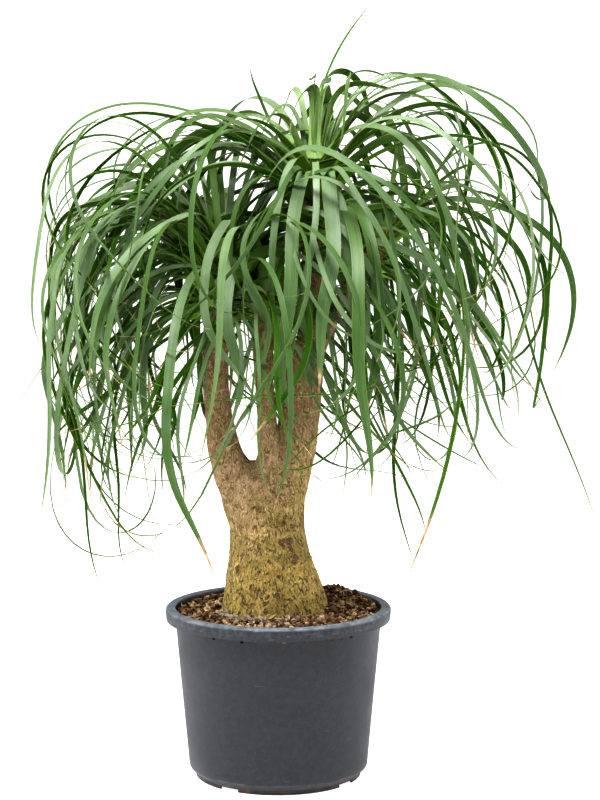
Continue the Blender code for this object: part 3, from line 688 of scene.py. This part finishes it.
def soil_crumbs():
    shapes = [crumb_shape(seed, 0.85) for seed in range(5)]
    shapes += [crumb_shape(seed, 0.5) for seed in range(9, 13)]
    places = []
    for index in range(CRUMB_COUNT):
        # Each crumb has draws of its own, so that none depends on the ones before it.
        chance = random.Random(SOIL_SEED + index)
        place = free_soil_place(chance)
        size = 0.001 + 0.0029 * chance.random() ** 2.6
        tone = 1.15 * chance.random() ** 1.5
        if place.x > 0.02 and chance.random() < CLOD_SHARE:
            size = chance.uniform(0.0038, 0.006)
            tone = chance.uniform(0.1, 0.5)
        turn = Euler([chance.uniform(0, tau) for _ in range(3)]).to_matrix().to_4x4()
        lift = Vector((0, 0, size * chance.uniform(-0.2, 0.9) + 0.001))
        matrix = Matrix.Translation(place + lift) @ turn @ Matrix.Scale(size, 4)
        big = size > 0.0026
        places.append((chance.randrange(5) if big else chance.randrange(5, 9), matrix, tone))
    return gather("soil_crumbs", shapes, places)


def chip_shape(seed):
    """One bark chip: a jagged sliver with narrow ends."""
    chance = random.Random(seed)
    chip = add_body("cube", size=2)
    chip.scale = (1, 0.42, 0.16)
    place_in_mesh(chip)
    open_mesh()
    bpy.ops.mesh.subdivide(number_cuts=1)
    close_mesh()
    corners = []
    for vertex in chip.data.vertices:
        jog = Vector([chance.uniform(-0.1, 0.1) for _ in range(3)])
        taper = 1 - 0.4 * abs(vertex.co.x)
        corners.append(Vector((vertex.co.x, vertex.co.y * taper, vertex.co.z * taper)) + jog)
    faces = []
    for face in chip.data.polygons:
        first, second, third, fourth = face.vertices
        faces += [(first, second, third), (first, third, fourth)]
    throw_away(chip)
    return np.array(corners), np.array(faces)


def soil_chips():
    shapes = [chip_shape(seed) for seed in range(40, 45)]
    places = []
    for index in range(CHIP_COUNT):
        chance = random.Random(SOIL_SEED + CRUMB_COUNT + index)
        place = free_soil_place(chance)
        size = chance.uniform(0.0022, 0.0055)
        tilt = Euler((chance.gauss(0, 0.35), chance.gauss(0, 0.35), chance.uniform(0, tau)))
        lift = Vector((0, 0, 0.003 + chance.uniform(0, 0.0014)))
        matrix = Matrix.Translation(place + lift) @ tilt.to_matrix().to_4x4() @ Matrix.Scale(size, 4)
        places.append((chance.randrange(5), matrix, chance.uniform(0.1, 1.25)))
    for index in range(FIBRE_COUNT):
        chance = random.Random(SOIL_SEED + CRUMB_COUNT + CHIP_COUNT + index)
        place = free_soil_place(chance)
        size = chance.uniform(0.004, 0.011)
        tilt = Euler((chance.gauss(0, 0.2), chance.gauss(0, 0.25), chance.uniform(0, tau)))
        slim = Matrix.Diagonal((size, size * 0.1, size * 0.25, 1))
        matrix = Matrix.Translation(place + Vector((0, 0, 0.0042))) @ tilt.to_matrix().to_4x4() @ slim
        places.append((chance.randrange(5), matrix, chance.uniform(0.9, 1.5)))
    return gather("bark_chips", shapes, places)


def soil_finish(name, by_shade):
    """Brown crumbs from peat black to straw, with a grey-white crust where water dries."""
    finish, tree, shader = new_finish(name, 0.95)
    plain = object_place(tree)
    patches = speckle(plain, 260, 4, 0.65)
    amount = fade(patches, 0.32, 0.68)
    if by_shade:
        # Loose bits dry paler than the bed below them.
        amount = work_out("ADD", point_value(tree, "shade"), times(patches, 0.35))
        amount = fade(amount, 0.1, 1.95)
        stops = (0, (40, 29, 22)), (0.2, (96, 74, 54)), (0.42, (146, 119, 88)), (0.72, (204, 180, 144))
    else:
        stops = (0, (38, 27, 20)), (0.6, (80, 60, 43)), (1, (116, 91, 67))
    base = shades(amount, *stops)
    for middle, reach, strength in CRUST_PATCHES:
        sockets = {0: plain, 1: (*middle, soil_top - 0.02)}
        away = add_node("VectorMath", sockets, operation="DISTANCE").outputs["Value"]
        away = work_out("ADD", away, fade(patches, 0.3, 0.7, -0.01, 0.01))
        base = paint(base, fade(away, reach, reach * 0.5, 0, strength), CRUST)
    dress(shader, base, 0.15, patches, 0.6, 0.0012)
    return finish


bed = soil_bed()
bed.data.materials.append(soil_finish("peaty_mix", False))
crumbs = soil_crumbs()
chips = soil_chips()
crumb_finish = soil_finish("loose_crumbs", True)
for piece in (crumbs, chips):
    piece.data.materials.append(crumb_finish)
for piece in (bed, crumbs, chips):
    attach(piece, "root")
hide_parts("potting_soil")
throw_away(soil_shape)


# --- Set leaves ---
# The leaves that shape the four crowns, each a strap of tough green blade 0.6 mm thick,
# broadest and channelled at its clasping base and drawn out to a dry point.

BLADE_THICKNESS = 0.0006
SET_POINTS = 160  # along each leaf's line, before its rows are shared out
SET_ROWS = 46
SET_COLUMNS = 4
LEAF_SEED = 11
CLOSE_LEAVES = ("left_crown_leaf_13", "left_crown_leaf_14")  # hang closer in than they spring
CLOSE_SIDE = -0.27
CLOSE_REACH = 0.05


def read_rings(node_name):
    """The middles and the sideways directions of a packed leaf's sections, base first."""
    bm = bmesh.new()
    bm.from_mesh(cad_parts[node_name].data)
    bmesh.ops.remove_doubles(bm, verts=bm.verts, dist=SAME_PLACE)
    for tip in bm.verts:
        rings, seen = [[tip]], {tip}
        while rings[-1]:
            beyond = {edge.other_vert(corner) for corner in rings[-1] for edge in corner.link_edges}
            rings.append(list(beyond - seen))
            seen |= beyond
        rings.pop()
        if all(len(ring) == 4 for ring in rings[1:]):
            break
    middles, sides, widths = [], [], []
    for ring in reversed(rings):
        places = [corner.co.copy() for corner in ring]
        middle = sum(places, Vector()) / len(places)
        middles.append(middle)
        if len(places) == 4:
            partner = min(places[1:], key=lambda place: (place - places[0]).length)
            edge = (places[0] + partner) / 2 - middle
            if sides and edge.dot(sides[-1]) < 0:
                edge.negate()
            widths.append(2 * edge.length)
            sides.append(edge.normalized())
    sides.append(sides[-1])
    widths.append(0)
    bm.free()
    return np.array(middles), np.array(sides), max(widths)


def smooth_line(rows, count):
    """A denser line through the rows that bends evenly between them."""
    rows = np.asarray(rows, float)
    padded = np.vstack((2 * rows[0] - rows[1], rows, 2 * rows[-1] - rows[-2]))
    places = np.linspace(0, len(rows) - 1.000001, count)
    start = places.astype(int)
    t = (places - start)[:, None]
    a, b, c, d = padded[start], padded[start + 1], padded[start + 2], padded[start + 3]
    bent = 2 * b + (c - a) * t + (2 * a - 5 * b + 4 * c - d) * t**2 + (3 * b - a - 3 * c + d) * t**3
    return 0.5 * bent


def unit(rows):
    return rows / np.maximum(np.linalg.norm(rows, axis=1, keepdims=True), 1e-9)


def even_rows(line, count):
    """Shares along the line, closer together where it bends, so that no bend shows a corner."""
    steps = np.diff(line, axis=0)
    lengths = np.linalg.norm(steps, axis=1)
    along = unit(steps)
    turns = np.arccos(np.clip((along[1:] * along[:-1]).sum(1), -1, 1))
    cost = lengths / 0.05
    cost[1:] += turns / radians(7)
    travelled = np.concatenate(([0], np.cumsum(cost)))
    measured = np.concatenate(([0], np.cumsum(lengths))) / lengths.sum()
    wanted = np.linspace(0, travelled[-1], count)
    return np.interp(wanted, travelled, measured), measured


def blade_outline(share, full):
    """The blade's width along its length: clasping base, full arch, drawn-out point."""
    base = 1 + 0.55 * np.exp(-((share / 0.035) ** 2))
    point = 1 - np.clip((share - full) / (1 - full), 0, 1) ** 2.6
    return base * np.maximum(point, 0.07)


def flat_strap(name, columns, rows):
    """The plain strap that every leaf starts from, a unit square with its own UV map."""
    strap = add_body("grid", x_subdivisions=columns, y_subdivisions=rows, size=1)
    strap.name = name
    return strap


def lay_blade(name, strap, line, sides, width, growth, full=0.42):
    """A copy of the strap laid along a line, channelled, with its growth kept for the material."""
    mesh = strap.data.copy()
    piece = add_piece(name, mesh)
    flat = np.zeros(len(mesh.vertices) * 3)
    mesh.vertices.foreach_get("co", flat)
    flat = flat.reshape(-1, 3)
    across = flat[:, 0] * 2
    levels, which = np.unique(np.round(flat[:, 1], 5), return_inverse=True)
    shares, measured = even_rows(line, len(levels))
    middles, broad = (
        np.array([np.interp(shares, measured, rows[:, k]) for k in range(3)]).T
        for rows in (line, sides)
    )
    along = unit(np.gradient(middles, axis=0))
    broad = unit(broad)
    broad = unit(broad - along * (broad * along).sum(1, keepdims=True))
    up = np.cross(along, broad)
    half = blade_outline(shares, full) * width / 2
    channel = 0.18 + 0.45 * np.exp(-((shares / 0.06) ** 2)) - 0.1 * np.clip(shares * 2, 0, 1)
    hollow = (np.abs(across) ** 1.7 - 0.45)[:, None] * (channel * half)[which][:, None]
    places = middles[which] + broad[which] * (across * half[which])[:, None] + up[which] * hollow
    mesh.vertices.foreach_set("co", places.ravel())
    corner_of = np.zeros(len(mesh.loops), int)
    mesh.loops.foreach_get("vertex_index", corner_of)
    map_places = np.column_stack((across / 2 + 0.5, shares[which]))[corner_of]
    mesh.uv_layers[0].data.foreach_set("uv", map_places.ravel())
    kept = mesh.attributes.new("growth", "FLOAT_COLOR", "POINT")
    kept.data.foreach_set("color", np.tile((*growth, 1), len(mesh.vertices)))
    mesh.update()
    return piece


def give_thickness(piece):
    """Give a blade its thickness, with the finish of wax and painted sheen on its upper side only."""
    for finish in (blade_under, blade_upper):
        piece.data.materials.append(finish)
    thick = piece.modifiers.new("thickness", "SOLIDIFY")
    thick.thickness = BLADE_THICKNESS
    thick.offset = 0
    thick.material_offset = 1
    apply_modifiers(piece)
    bpy.ops.object.shade_smooth_by_angle(angle=radians(50))


def sway(line, sides, chance):
    """The leaf's far half swung a little to one side and back, as leaf ends are."""
    share = np.linspace(0, 1, len(line))
    reach = np.clip((share - 0.35) / 0.65, 0, 1) ** 1.5
    swing = np.sin(share * tau * chance.uniform(0.7, 1.3) + chance.uniform(0, tau))
    broadside = sides * chance.choice((-1, 1)) * chance.uniform(0.009, 0.03)
    along = unit(np.gradient(line, axis=0))
    inward = np.cross(along, sides) * chance.uniform(-0.016, 0.016)
    return line + (broadside * swing[:, None] + inward) * reach[:, None]


def twist_sides(line, sides, first_deg, last_deg):
    """Turn the blade's sideways direction about its own line, more towards the tip."""
    along = unit(np.gradient(line, axis=0))
    share = np.linspace(0, 1, len(line))
    angle = np.radians(first_deg + (last_deg - first_deg) * share**1.4)[:, None]
    return sides * np.cos(angle) + np.cross(along, sides) * np.sin(angle)


def leaf_finish(name, upper_with_sheen):
    """Green blade with parallel veins, lime at the base, tan where dry, grey-white wax and painted sheen
    on top.
    """
    finish, tree, shader = new_finish(name, 0.5)
    mapped = add_node("UVMap", tree=tree, uv_map="UVMap").outputs["UV"]
    across, along, _ = add_node("SeparateXYZ", {0: mapped}).outputs
    growth = point_value(tree, "growth", "Color")
    tone, dryness, youth = add_node("SeparateColor", {0: growth}).outputs
    plain = object_place(tree)
    stops = (0, (176, 198, 110)), (0.07, (116, 152, 44)), (0.2, (60, 98, 9))
    grown = shades(along, *stops, (0.6, (46, 84, 5)), (1, (60, 90, 12)))
    cool = paint(grown, fade(tone, 0, 1, 0, 0.7), (36, 70, 10))
    lime = times(youth, fade(along, 0.25, 0.6, 0.9, 0.2))
    base = paint(cool, lime, (170, 198, 132))
    if upper_with_sheen:
        # Painted sheen, partly waxy bloom: pale grey-green on the upper side only, more on some leaves
        # than others and fading towards the tip, where light from above catches the blade.
        patches = fade(speckle(plain, 30, 3), 0.35, 0.65, 0.6, 1)
        wax_and_painted_sheen = times(fade(tone, 0.8, 0, 0.06, 0.58), patches)
        wax_and_painted_sheen = times(wax_and_painted_sheen, fade(along, 0.25, 0.7, 1, 0.3))
        base = paint(base, wax_and_painted_sheen, (174, 185, 168))
    stretched = add_node("Mapping", {"Vector": mapped, "Scale": (15, 1.6, 1)})
    veins = speckle(stretched.outputs["Vector"], 1, 3, 0.6)
    base = paint(base, fade(veins, 0.52, 0.66, 0, 0.2), (150, 178, 112))
    base = paint(base, fade(veins, 0.48, 0.34, 0, 0.28), (30, 66, 6))
    from_edge = work_out("ABSOLUTE", work_out("SUBTRACT", across, 0.5))
    base = paint(base, fade(from_edge, 0.455, 0.49, 0, 0.4), (140, 160, 80))
    ragged = times(speckle(plain, 90, 2), 0.05)
    left = work_out("SUBTRACT", work_out("SUBTRACT", 1, along), ragged)
    dry = fade(work_out("SUBTRACT", dryness, left), -0.01, 0.025)
    straw = shades(speckle(plain, 120, 3), (0.35, (126, 98, 68)), (0.65, (186, 164, 128)))
    base = paint(base, dry, straw)
    tree.links.new(fade(dry, 0, 1, 0.48, 0.85), shader.inputs["Roughness"])
    dress(shader, base, 0.42 if upper_with_sheen else 0.1, veins, 0.35, 0.0005)
    return finish


# The upper side's finish carries the painted sheen; the under side's is the same green without it.
blade_upper = leaf_finish("blade_upper", True)
blade_under = leaf_finish("blade_under", False)
set_strap = flat_strap("set_strap", SET_COLUMNS, SET_ROWS)
leaf_chance = random.Random(LEAF_SEED)
crown_starts = {}
for name in sorted(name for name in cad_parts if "_crown_leaf_" in name):
    middles, sides, width = read_rings(name)
    crown_starts.setdefault(name.split("_leaf_")[0], []).append(middles[0])
    line = smooth_line(middles, SET_POINTS)
    if name in CLOSE_LEAVES:
        beyond = np.maximum(CLOSE_SIDE - line[:, 0], 0)
        line[:, 0] += beyond - CLOSE_REACH * (1 - np.exp(-beyond / CLOSE_REACH))
    outward = line[SET_POINTS // 4] - line[0]
    if np.cross([0, 0, 1], outward).dot(sides[1]) < 0:
        sides = -sides
    sideways = abs(sides[2][1])
    first_turn = leaf_chance.choice((-1, 1)) * sideways * leaf_chance.uniform(25, 50)
    last_turn = first_turn + leaf_chance.uniform(-35, 35) + sideways * leaf_chance.uniform(-60, 60)
    sides = smooth_line(sides, SET_POINTS)
    line = sway(line, sides, leaf_chance)
    sides = twist_sides(line, sides, first_turn, last_turn)
    dryness = max(0, leaf_chance.gauss(0.02, 0.03))
    # The upright leaves are the young ones.
    upright = unit((line[SET_POINTS * 3 // 20] - line[0])[None, :])[0][2]
    youth = min(max((upright - 0.8) / 0.15, 0), 1) if width > 0.0125 else 0
    growth = (leaf_chance.random(), dryness, max(youth, leaf_chance.uniform(0, 0.2)))
    width *= 1 - 0.3 * sideways
    leaf = lay_blade(f"blade_{name}", set_strap, line, sides, width, growth, 0.45)
    give_thickness(leaf)
    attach(leaf, "root")
    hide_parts(name)
throw_away(set_strap)


# --- Crown foliage ---
# The rest of each crown: leaves in a spiral up the stem, the young ones upright in the middle,
# the grown ones arching over and hanging, the old and thin ones drooping or straying about.

FILL_ROWS = 30
FILL_COLUMNS = 2
GOLDEN_TURN = radians(137.508)
LINE_STEPS = 90
STEM_RADIUS = 0.016
HEART_WIDTH = 0.08
HEART_DROP = 0.015
LEAST_FALL = 0.12  # from a leaf's highest point to its tip
WOOD_GAP = 0.012  # between a leaf and the limbs
SIDE_MARGINS = (0.045, 0)  # inside the plant's box, in x and in y
TOP_MARGINS = (0.145, 0.09)  # below the box's top, on the left and on the right
SPREAD = 0.14  # how far the headings draw together towards the crown's left and right
TRIES = 20  # for each leaf, before it is left out
SEED_STEP = 1000  # from one crown's seeds to the next one's
BARE_FOOT = (0.1, 0.365)  # half width and height about the trunk that no leaf hangs before

# How each kind of leaf grows, from a lowest to a highest value: its seat up the stem, its
# angle above level in degrees, its length, the share of it that stands stiff, how far its
# weight and its own curl bend it per metre, its width in mm, and how young it looks.
LEAF_KINDS = {
    "heart": ((0.8, 1), (70, 87), (0.14, 0.25), (0.15, 0.36), (45, 100), (0, 4), (8, 12), (0.4, 0.85)),
    "trailing": ((0.2, 0.8), (30, 64), (0.6, 0.86), (0, 0.1), (9, 16), (0, 4), (6.5, 8.5), (0, 0.1)),
    "sweeping": ((0.35, 0.92), (44, 70), (0.5, 0.68), (0, 0.1), (7, 10), (1.2, 5), (7, 10), (0, 0.2)),
    "arching": ((0.3, 0.92), (34, 74), (0.36, 0.58), (0, 0.1), (10, 19), (-2, 5), (6.5, 10), (0, 0.2)),
    "hanging": ((0.2, 0.8), (20, 60), (0.32, 0.5), (0, 0.15), (20, 42), (-2, 3.5), (10, 15), (0, 0.1)),
    "drooping": ((0, 0.3), (-25, 34), (0.28, 0.46), (0, 0.1), (9, 18), (-5, 7), (5.5, 8), (0, 0)),
    "straying": ((0, 0.5), (-10, 50), (0.32, 0.5), (0, 0.1), (10, 22), (-9, 9), (5, 7), (0, 0)),
}

# How many of each kind a crown has, which way it leans in degrees and how strongly, and the
# lowest height that its tips reach.
CROWN_LEAVES = {
    "top_crown": (
        (("heart", 12), ("sweeping", 22), ("arching", 26), ("hanging", 6), ("drooping", 30)),
        (175, 0.22, 0.43),
    ),
    "left_crown": (
        (("heart", 3), ("trailing", 46), ("sweeping", 14), ("arching", 52))
        + (("hanging", 4), ("drooping", 46)),
        (178, 0.4, 0.25),
    ),
    "middle_crown": (
        (("arching", 16), ("hanging", 5), ("drooping", 20), ("straying", 18)),
        (-100, 0.35, 0.36),
    ),
    "right_crown": (
        (("heart", 3), ("trailing", 8), ("arching", 10), ("hanging", 2), ("drooping", 12)),
        (25, 0.4, 0.34),
    ),
}


def crown_stem(crown):
    """The stem inside a crown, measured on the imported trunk: its lowest and highest leafy point."""
    starts = np.array(crown_starts[crown])
    middle = starts.mean(0)
    wood = np.array([tuple(vertex.co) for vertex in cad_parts["trunk"].data.vertices])
    lowest, highest = starts[:, 2].min(), starts[:, 2].max()
    near = np.linalg.norm(wood[:, :2] - middle[:2], axis=1) < 0.045
    near &= (wood[:, 2] > lowest - 0.05) & (wood[:, 2] < highest + 0.03)
    leans = [np.polyfit(wood[near, 2], wood[near, axis], 1) for axis in (0, 1)]
    heights = (lowest - 0.012, highest + 0.004)
    return [Vector((*(np.polyval(lean, height) for lean in leans), height)) for height in heights]


def grown_line(base, outward, rise, length, stiff, limp, curl, wave, start, roll, twist, floor):
    """One leaf's line and its sideways directions, bent step by step by its weight and its curl."""
    along = outward * cos(rise) + Vector((0, 0, sin(rise)))
    side = Matrix.Rotation(roll, 3, along) @ Vector((-outward.y, outward.x, 0))
    down = Vector((0, 0, -1))
    place = Vector(base)
    step = length / LINE_STEPS
    line, sides = [tuple(place)], [tuple(side)]
    for index in range(LINE_STEPS):
        share = (index + 0.5) / LINE_STEPS
        yielding = min(max((share - stiff) / 0.16, 0), 1)
        yielding = yielding * yielding * (3 - 2 * yielding)
        weight = limp * yielding * (1 - share) ** 1.6
        bend = curl * (0.3 + 2.2 * share) + wave * share * sin(start + 11 * share)
        up = along.cross(side)
        pull = down - along * down.dot(along)
        along = (along + (pull * weight - up * bend * yielding) * step).normalized()
        side = Matrix.Rotation(twist * step / length, 3, along) @ side
        side = (side - along * side.dot(along)).normalized()
        place = place + along * step
        line.append(tuple(place))
        sides.append(tuple(side))
        if place.z < floor and along.z < 0 and index > LINE_STEPS // 2:
            break
    return np.array(line), np.array(sides)


def heart_shows(line, stem_high):
    """Whether the line leaves open the view of the young leaves from the front."""
    beyond = line[LINE_STEPS // 6 :]
    before = (np.abs(beyond[:, 0] - stem_high.x) < HEART_WIDTH / 2) & (beyond[:, 1] < stem_high.y)
    return not (before & (beyond[:, 2] > stem_high.z - HEART_DROP)).any()


def clear_of_wood(line):
    """Whether the line stays off the limbs once it has left its own stem, and off the foot."""
    low = line[:, 2] < BARE_FOOT[1]
    if (low & (np.abs(line[:, 0]) < BARE_FOOT[0])).any():
        return False
    for index in range(LINE_STEPS // 5, len(line), 3):
        if trunk_tree.find_nearest(Vector(line[index]))[3] < WOOD_GAP:
            return False
    return True


def inside_room(line):
    """Whether the line stays in the plant's box, well under its top and in from its sides."""
    low, high = np.array(cad_box)[:, :2] + np.outer((1, -1), SIDE_MARGINS)
    ceiling = cad_box[1][2] - np.where(line[:, 0] < 0, *TOP_MARGINS)
    inside = (line[:, 2] < ceiling) & (line[:, :2] > low).all(1) & (line[:, :2] < high).all(1)
    return inside.all()


def grow_leaf(kind, stem, heading, floor, chance):
    """One leaf's line, sideways directions, width and growth, or nothing if it has no room."""
    traits = [chance.uniform(*pair) for pair in LEAF_KINDS[kind]]
    seat, rise_deg, length, stiff, limp, curl, width_mm, youth = traits
    stem_low, stem_high = stem
    outward = Vector((cos(heading), sin(heading), 0))
    slim = STEM_RADIUS * (1 - 0.6 * max(0, seat - 0.55) / 0.45)
    base = stem_low.lerp(stem_high, seat) + outward * slim
    roll = radians(chance.uniform(-50, 50))
    twist = radians(chance.gauss(0, 110))
    lowest = floor + abs(chance.gauss(0, 0.08))
    wave, start = chance.uniform(1, 13), chance.uniform(0, tau)
    bends = (stiff, limp, curl, wave, start, roll, twist)
    line, sides = grown_line(base, outward, radians(rise_deg), length, *bends, lowest)
    line = sway(line, sides, chance)
    if len(line) < LINE_STEPS // 3 or not inside_room(line) or not clear_of_wood(line):
        return None
    if kind != "heart":
        if line[-1, 2] > line[:, 2].max() - LEAST_FALL or not heart_shows(line, stem_high):
            return None
    dryness = max(0, chance.gauss(0.01, 0.04))
    return line, sides, width_mm / 1000, (chance.random(), dryness, youth)


def grow_crown(crown, strap, seed):
    kinds, (lean_deg, lean, floor) = CROWN_LEAVES[crown]
    stem = crown_stem(crown)
    wanted = [kind for kind, count in kinds for _ in range(count)]
    leaves = []
    for index, kind in enumerate(wanted):
        chance = random.Random(seed + index)
        for _ in range(TRIES):
            heading = index * GOLDEN_TURN + chance.uniform(-0.3, 0.3)
            heading -= lean * sin(heading - radians(lean_deg))
            heading -= SPREAD * sin(2 * heading)
            grown = grow_leaf(kind, stem, heading, floor, chance)
            if grown:
                leaves.append(lay_blade(f"{crown}_{kind}_{index}", strap, *grown))
                break
    pick(*leaves)
    bpy.ops.object.join()
    foliage = leaves[0]
    foliage.name = f"{crown}_foliage"
    give_thickness(foliage)
    return foliage


fill_strap = flat_strap("fill_strap", FILL_COLUMNS, FILL_ROWS)
for number, crown in enumerate(CROWN_LEAVES):
    foliage = grow_crown(crown, fill_strap, LEAF_SEED + SEED_STEP * (number + 1))
    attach(foliage, "root")
throw_away(fill_strap)


# --- Studio ---
# A wide white floor under a white sky, a big soft light overhead, weaker ones around.

floor = add_body("circle", vertices=64, radius=40, fill_type="NGON", location=(0, 0, -0.0002))
floor.name = "studio_floor"
floor_finish, _, floor_shader = new_finish("white_floor", 0.9)
floor_shader.inputs["Base Color"].default_value = (0.86, 0.86, 0.86, 1)
floor_shader.inputs["Emission Color"].default_value = (1, 1, 1, 1)
floor_shader.inputs["Emission Strength"].default_value = 0.62
floor_shader.inputs["Specular IOR Level"].default_value = 0
floor.data.materials.append(floor_finish)

# Rectangular softboxes: place, height above the pot's middle to face, width, height and power.
for name, place, aim, width, height, power in (
    ("top_light", (-0.3, -1.5, 3), 0.7, 1.3, 1, 112),
    ("left_light", (-2.2, 0.1, 1.1), 0.5, 0.9, 2, 36),
    ("front_light", (-0.7, -3.2, 1.7), 0.6, 1.2, 1.2, 5),
    ("right_light", (2.2, 0.3, 1.1), 0.5, 0.9, 2, 24),
):
    bpy.ops.object.light_add(type="AREA", location=place)
    lamp = bpy.context.object
    lamp.name = name
    lamp.data.shape = "RECTANGLE"
    lamp.data.size = width
    lamp.data.size_y = height
    lamp.data.energy = power
    lamp.rotation_euler = (Vector((0, 0, aim)) - Vector(place)).to_track_quat("-Z", "Y").to_euler()

scene = bpy.context.scene
sky = bpy.data.worlds.new("white_sky")
scene.world = sky
sky.use_nodes = True
sky_tree = sky.node_tree
sky_shader = sky_tree.nodes["Background"]
direction = add_node("TexCoord", tree=sky_tree).outputs["Generated"]
behind = add_node("SeparateXYZ", {0: direction}).outputs["Y"]
lit = fade(behind, -0.8, 0.6, 0.06, 0.5)
seen = add_node("LightPath", tree=sky_tree).outputs["Is Camera Ray"]
strength = work_out("MAXIMUM", lit, times(seen, 1.2))
sky_tree.links.new(strength, sky_shader.inputs["Strength"])
sky_shader.inputs["Color"].default_value = (1, 1, 1, 1)
scene.view_settings.view_transform = "Standard"
scene.view_settings.look = "High Contrast"

bpy.ops.object.camera_add(location=(0, -3, 0.86), rotation=(radians(83.5), 0, radians(-0.57)))
camera = bpy.context.object
camera.name = "camera"
camera.data.lens = 100
camera.data.sensor_width = 36
scene.camera = camera
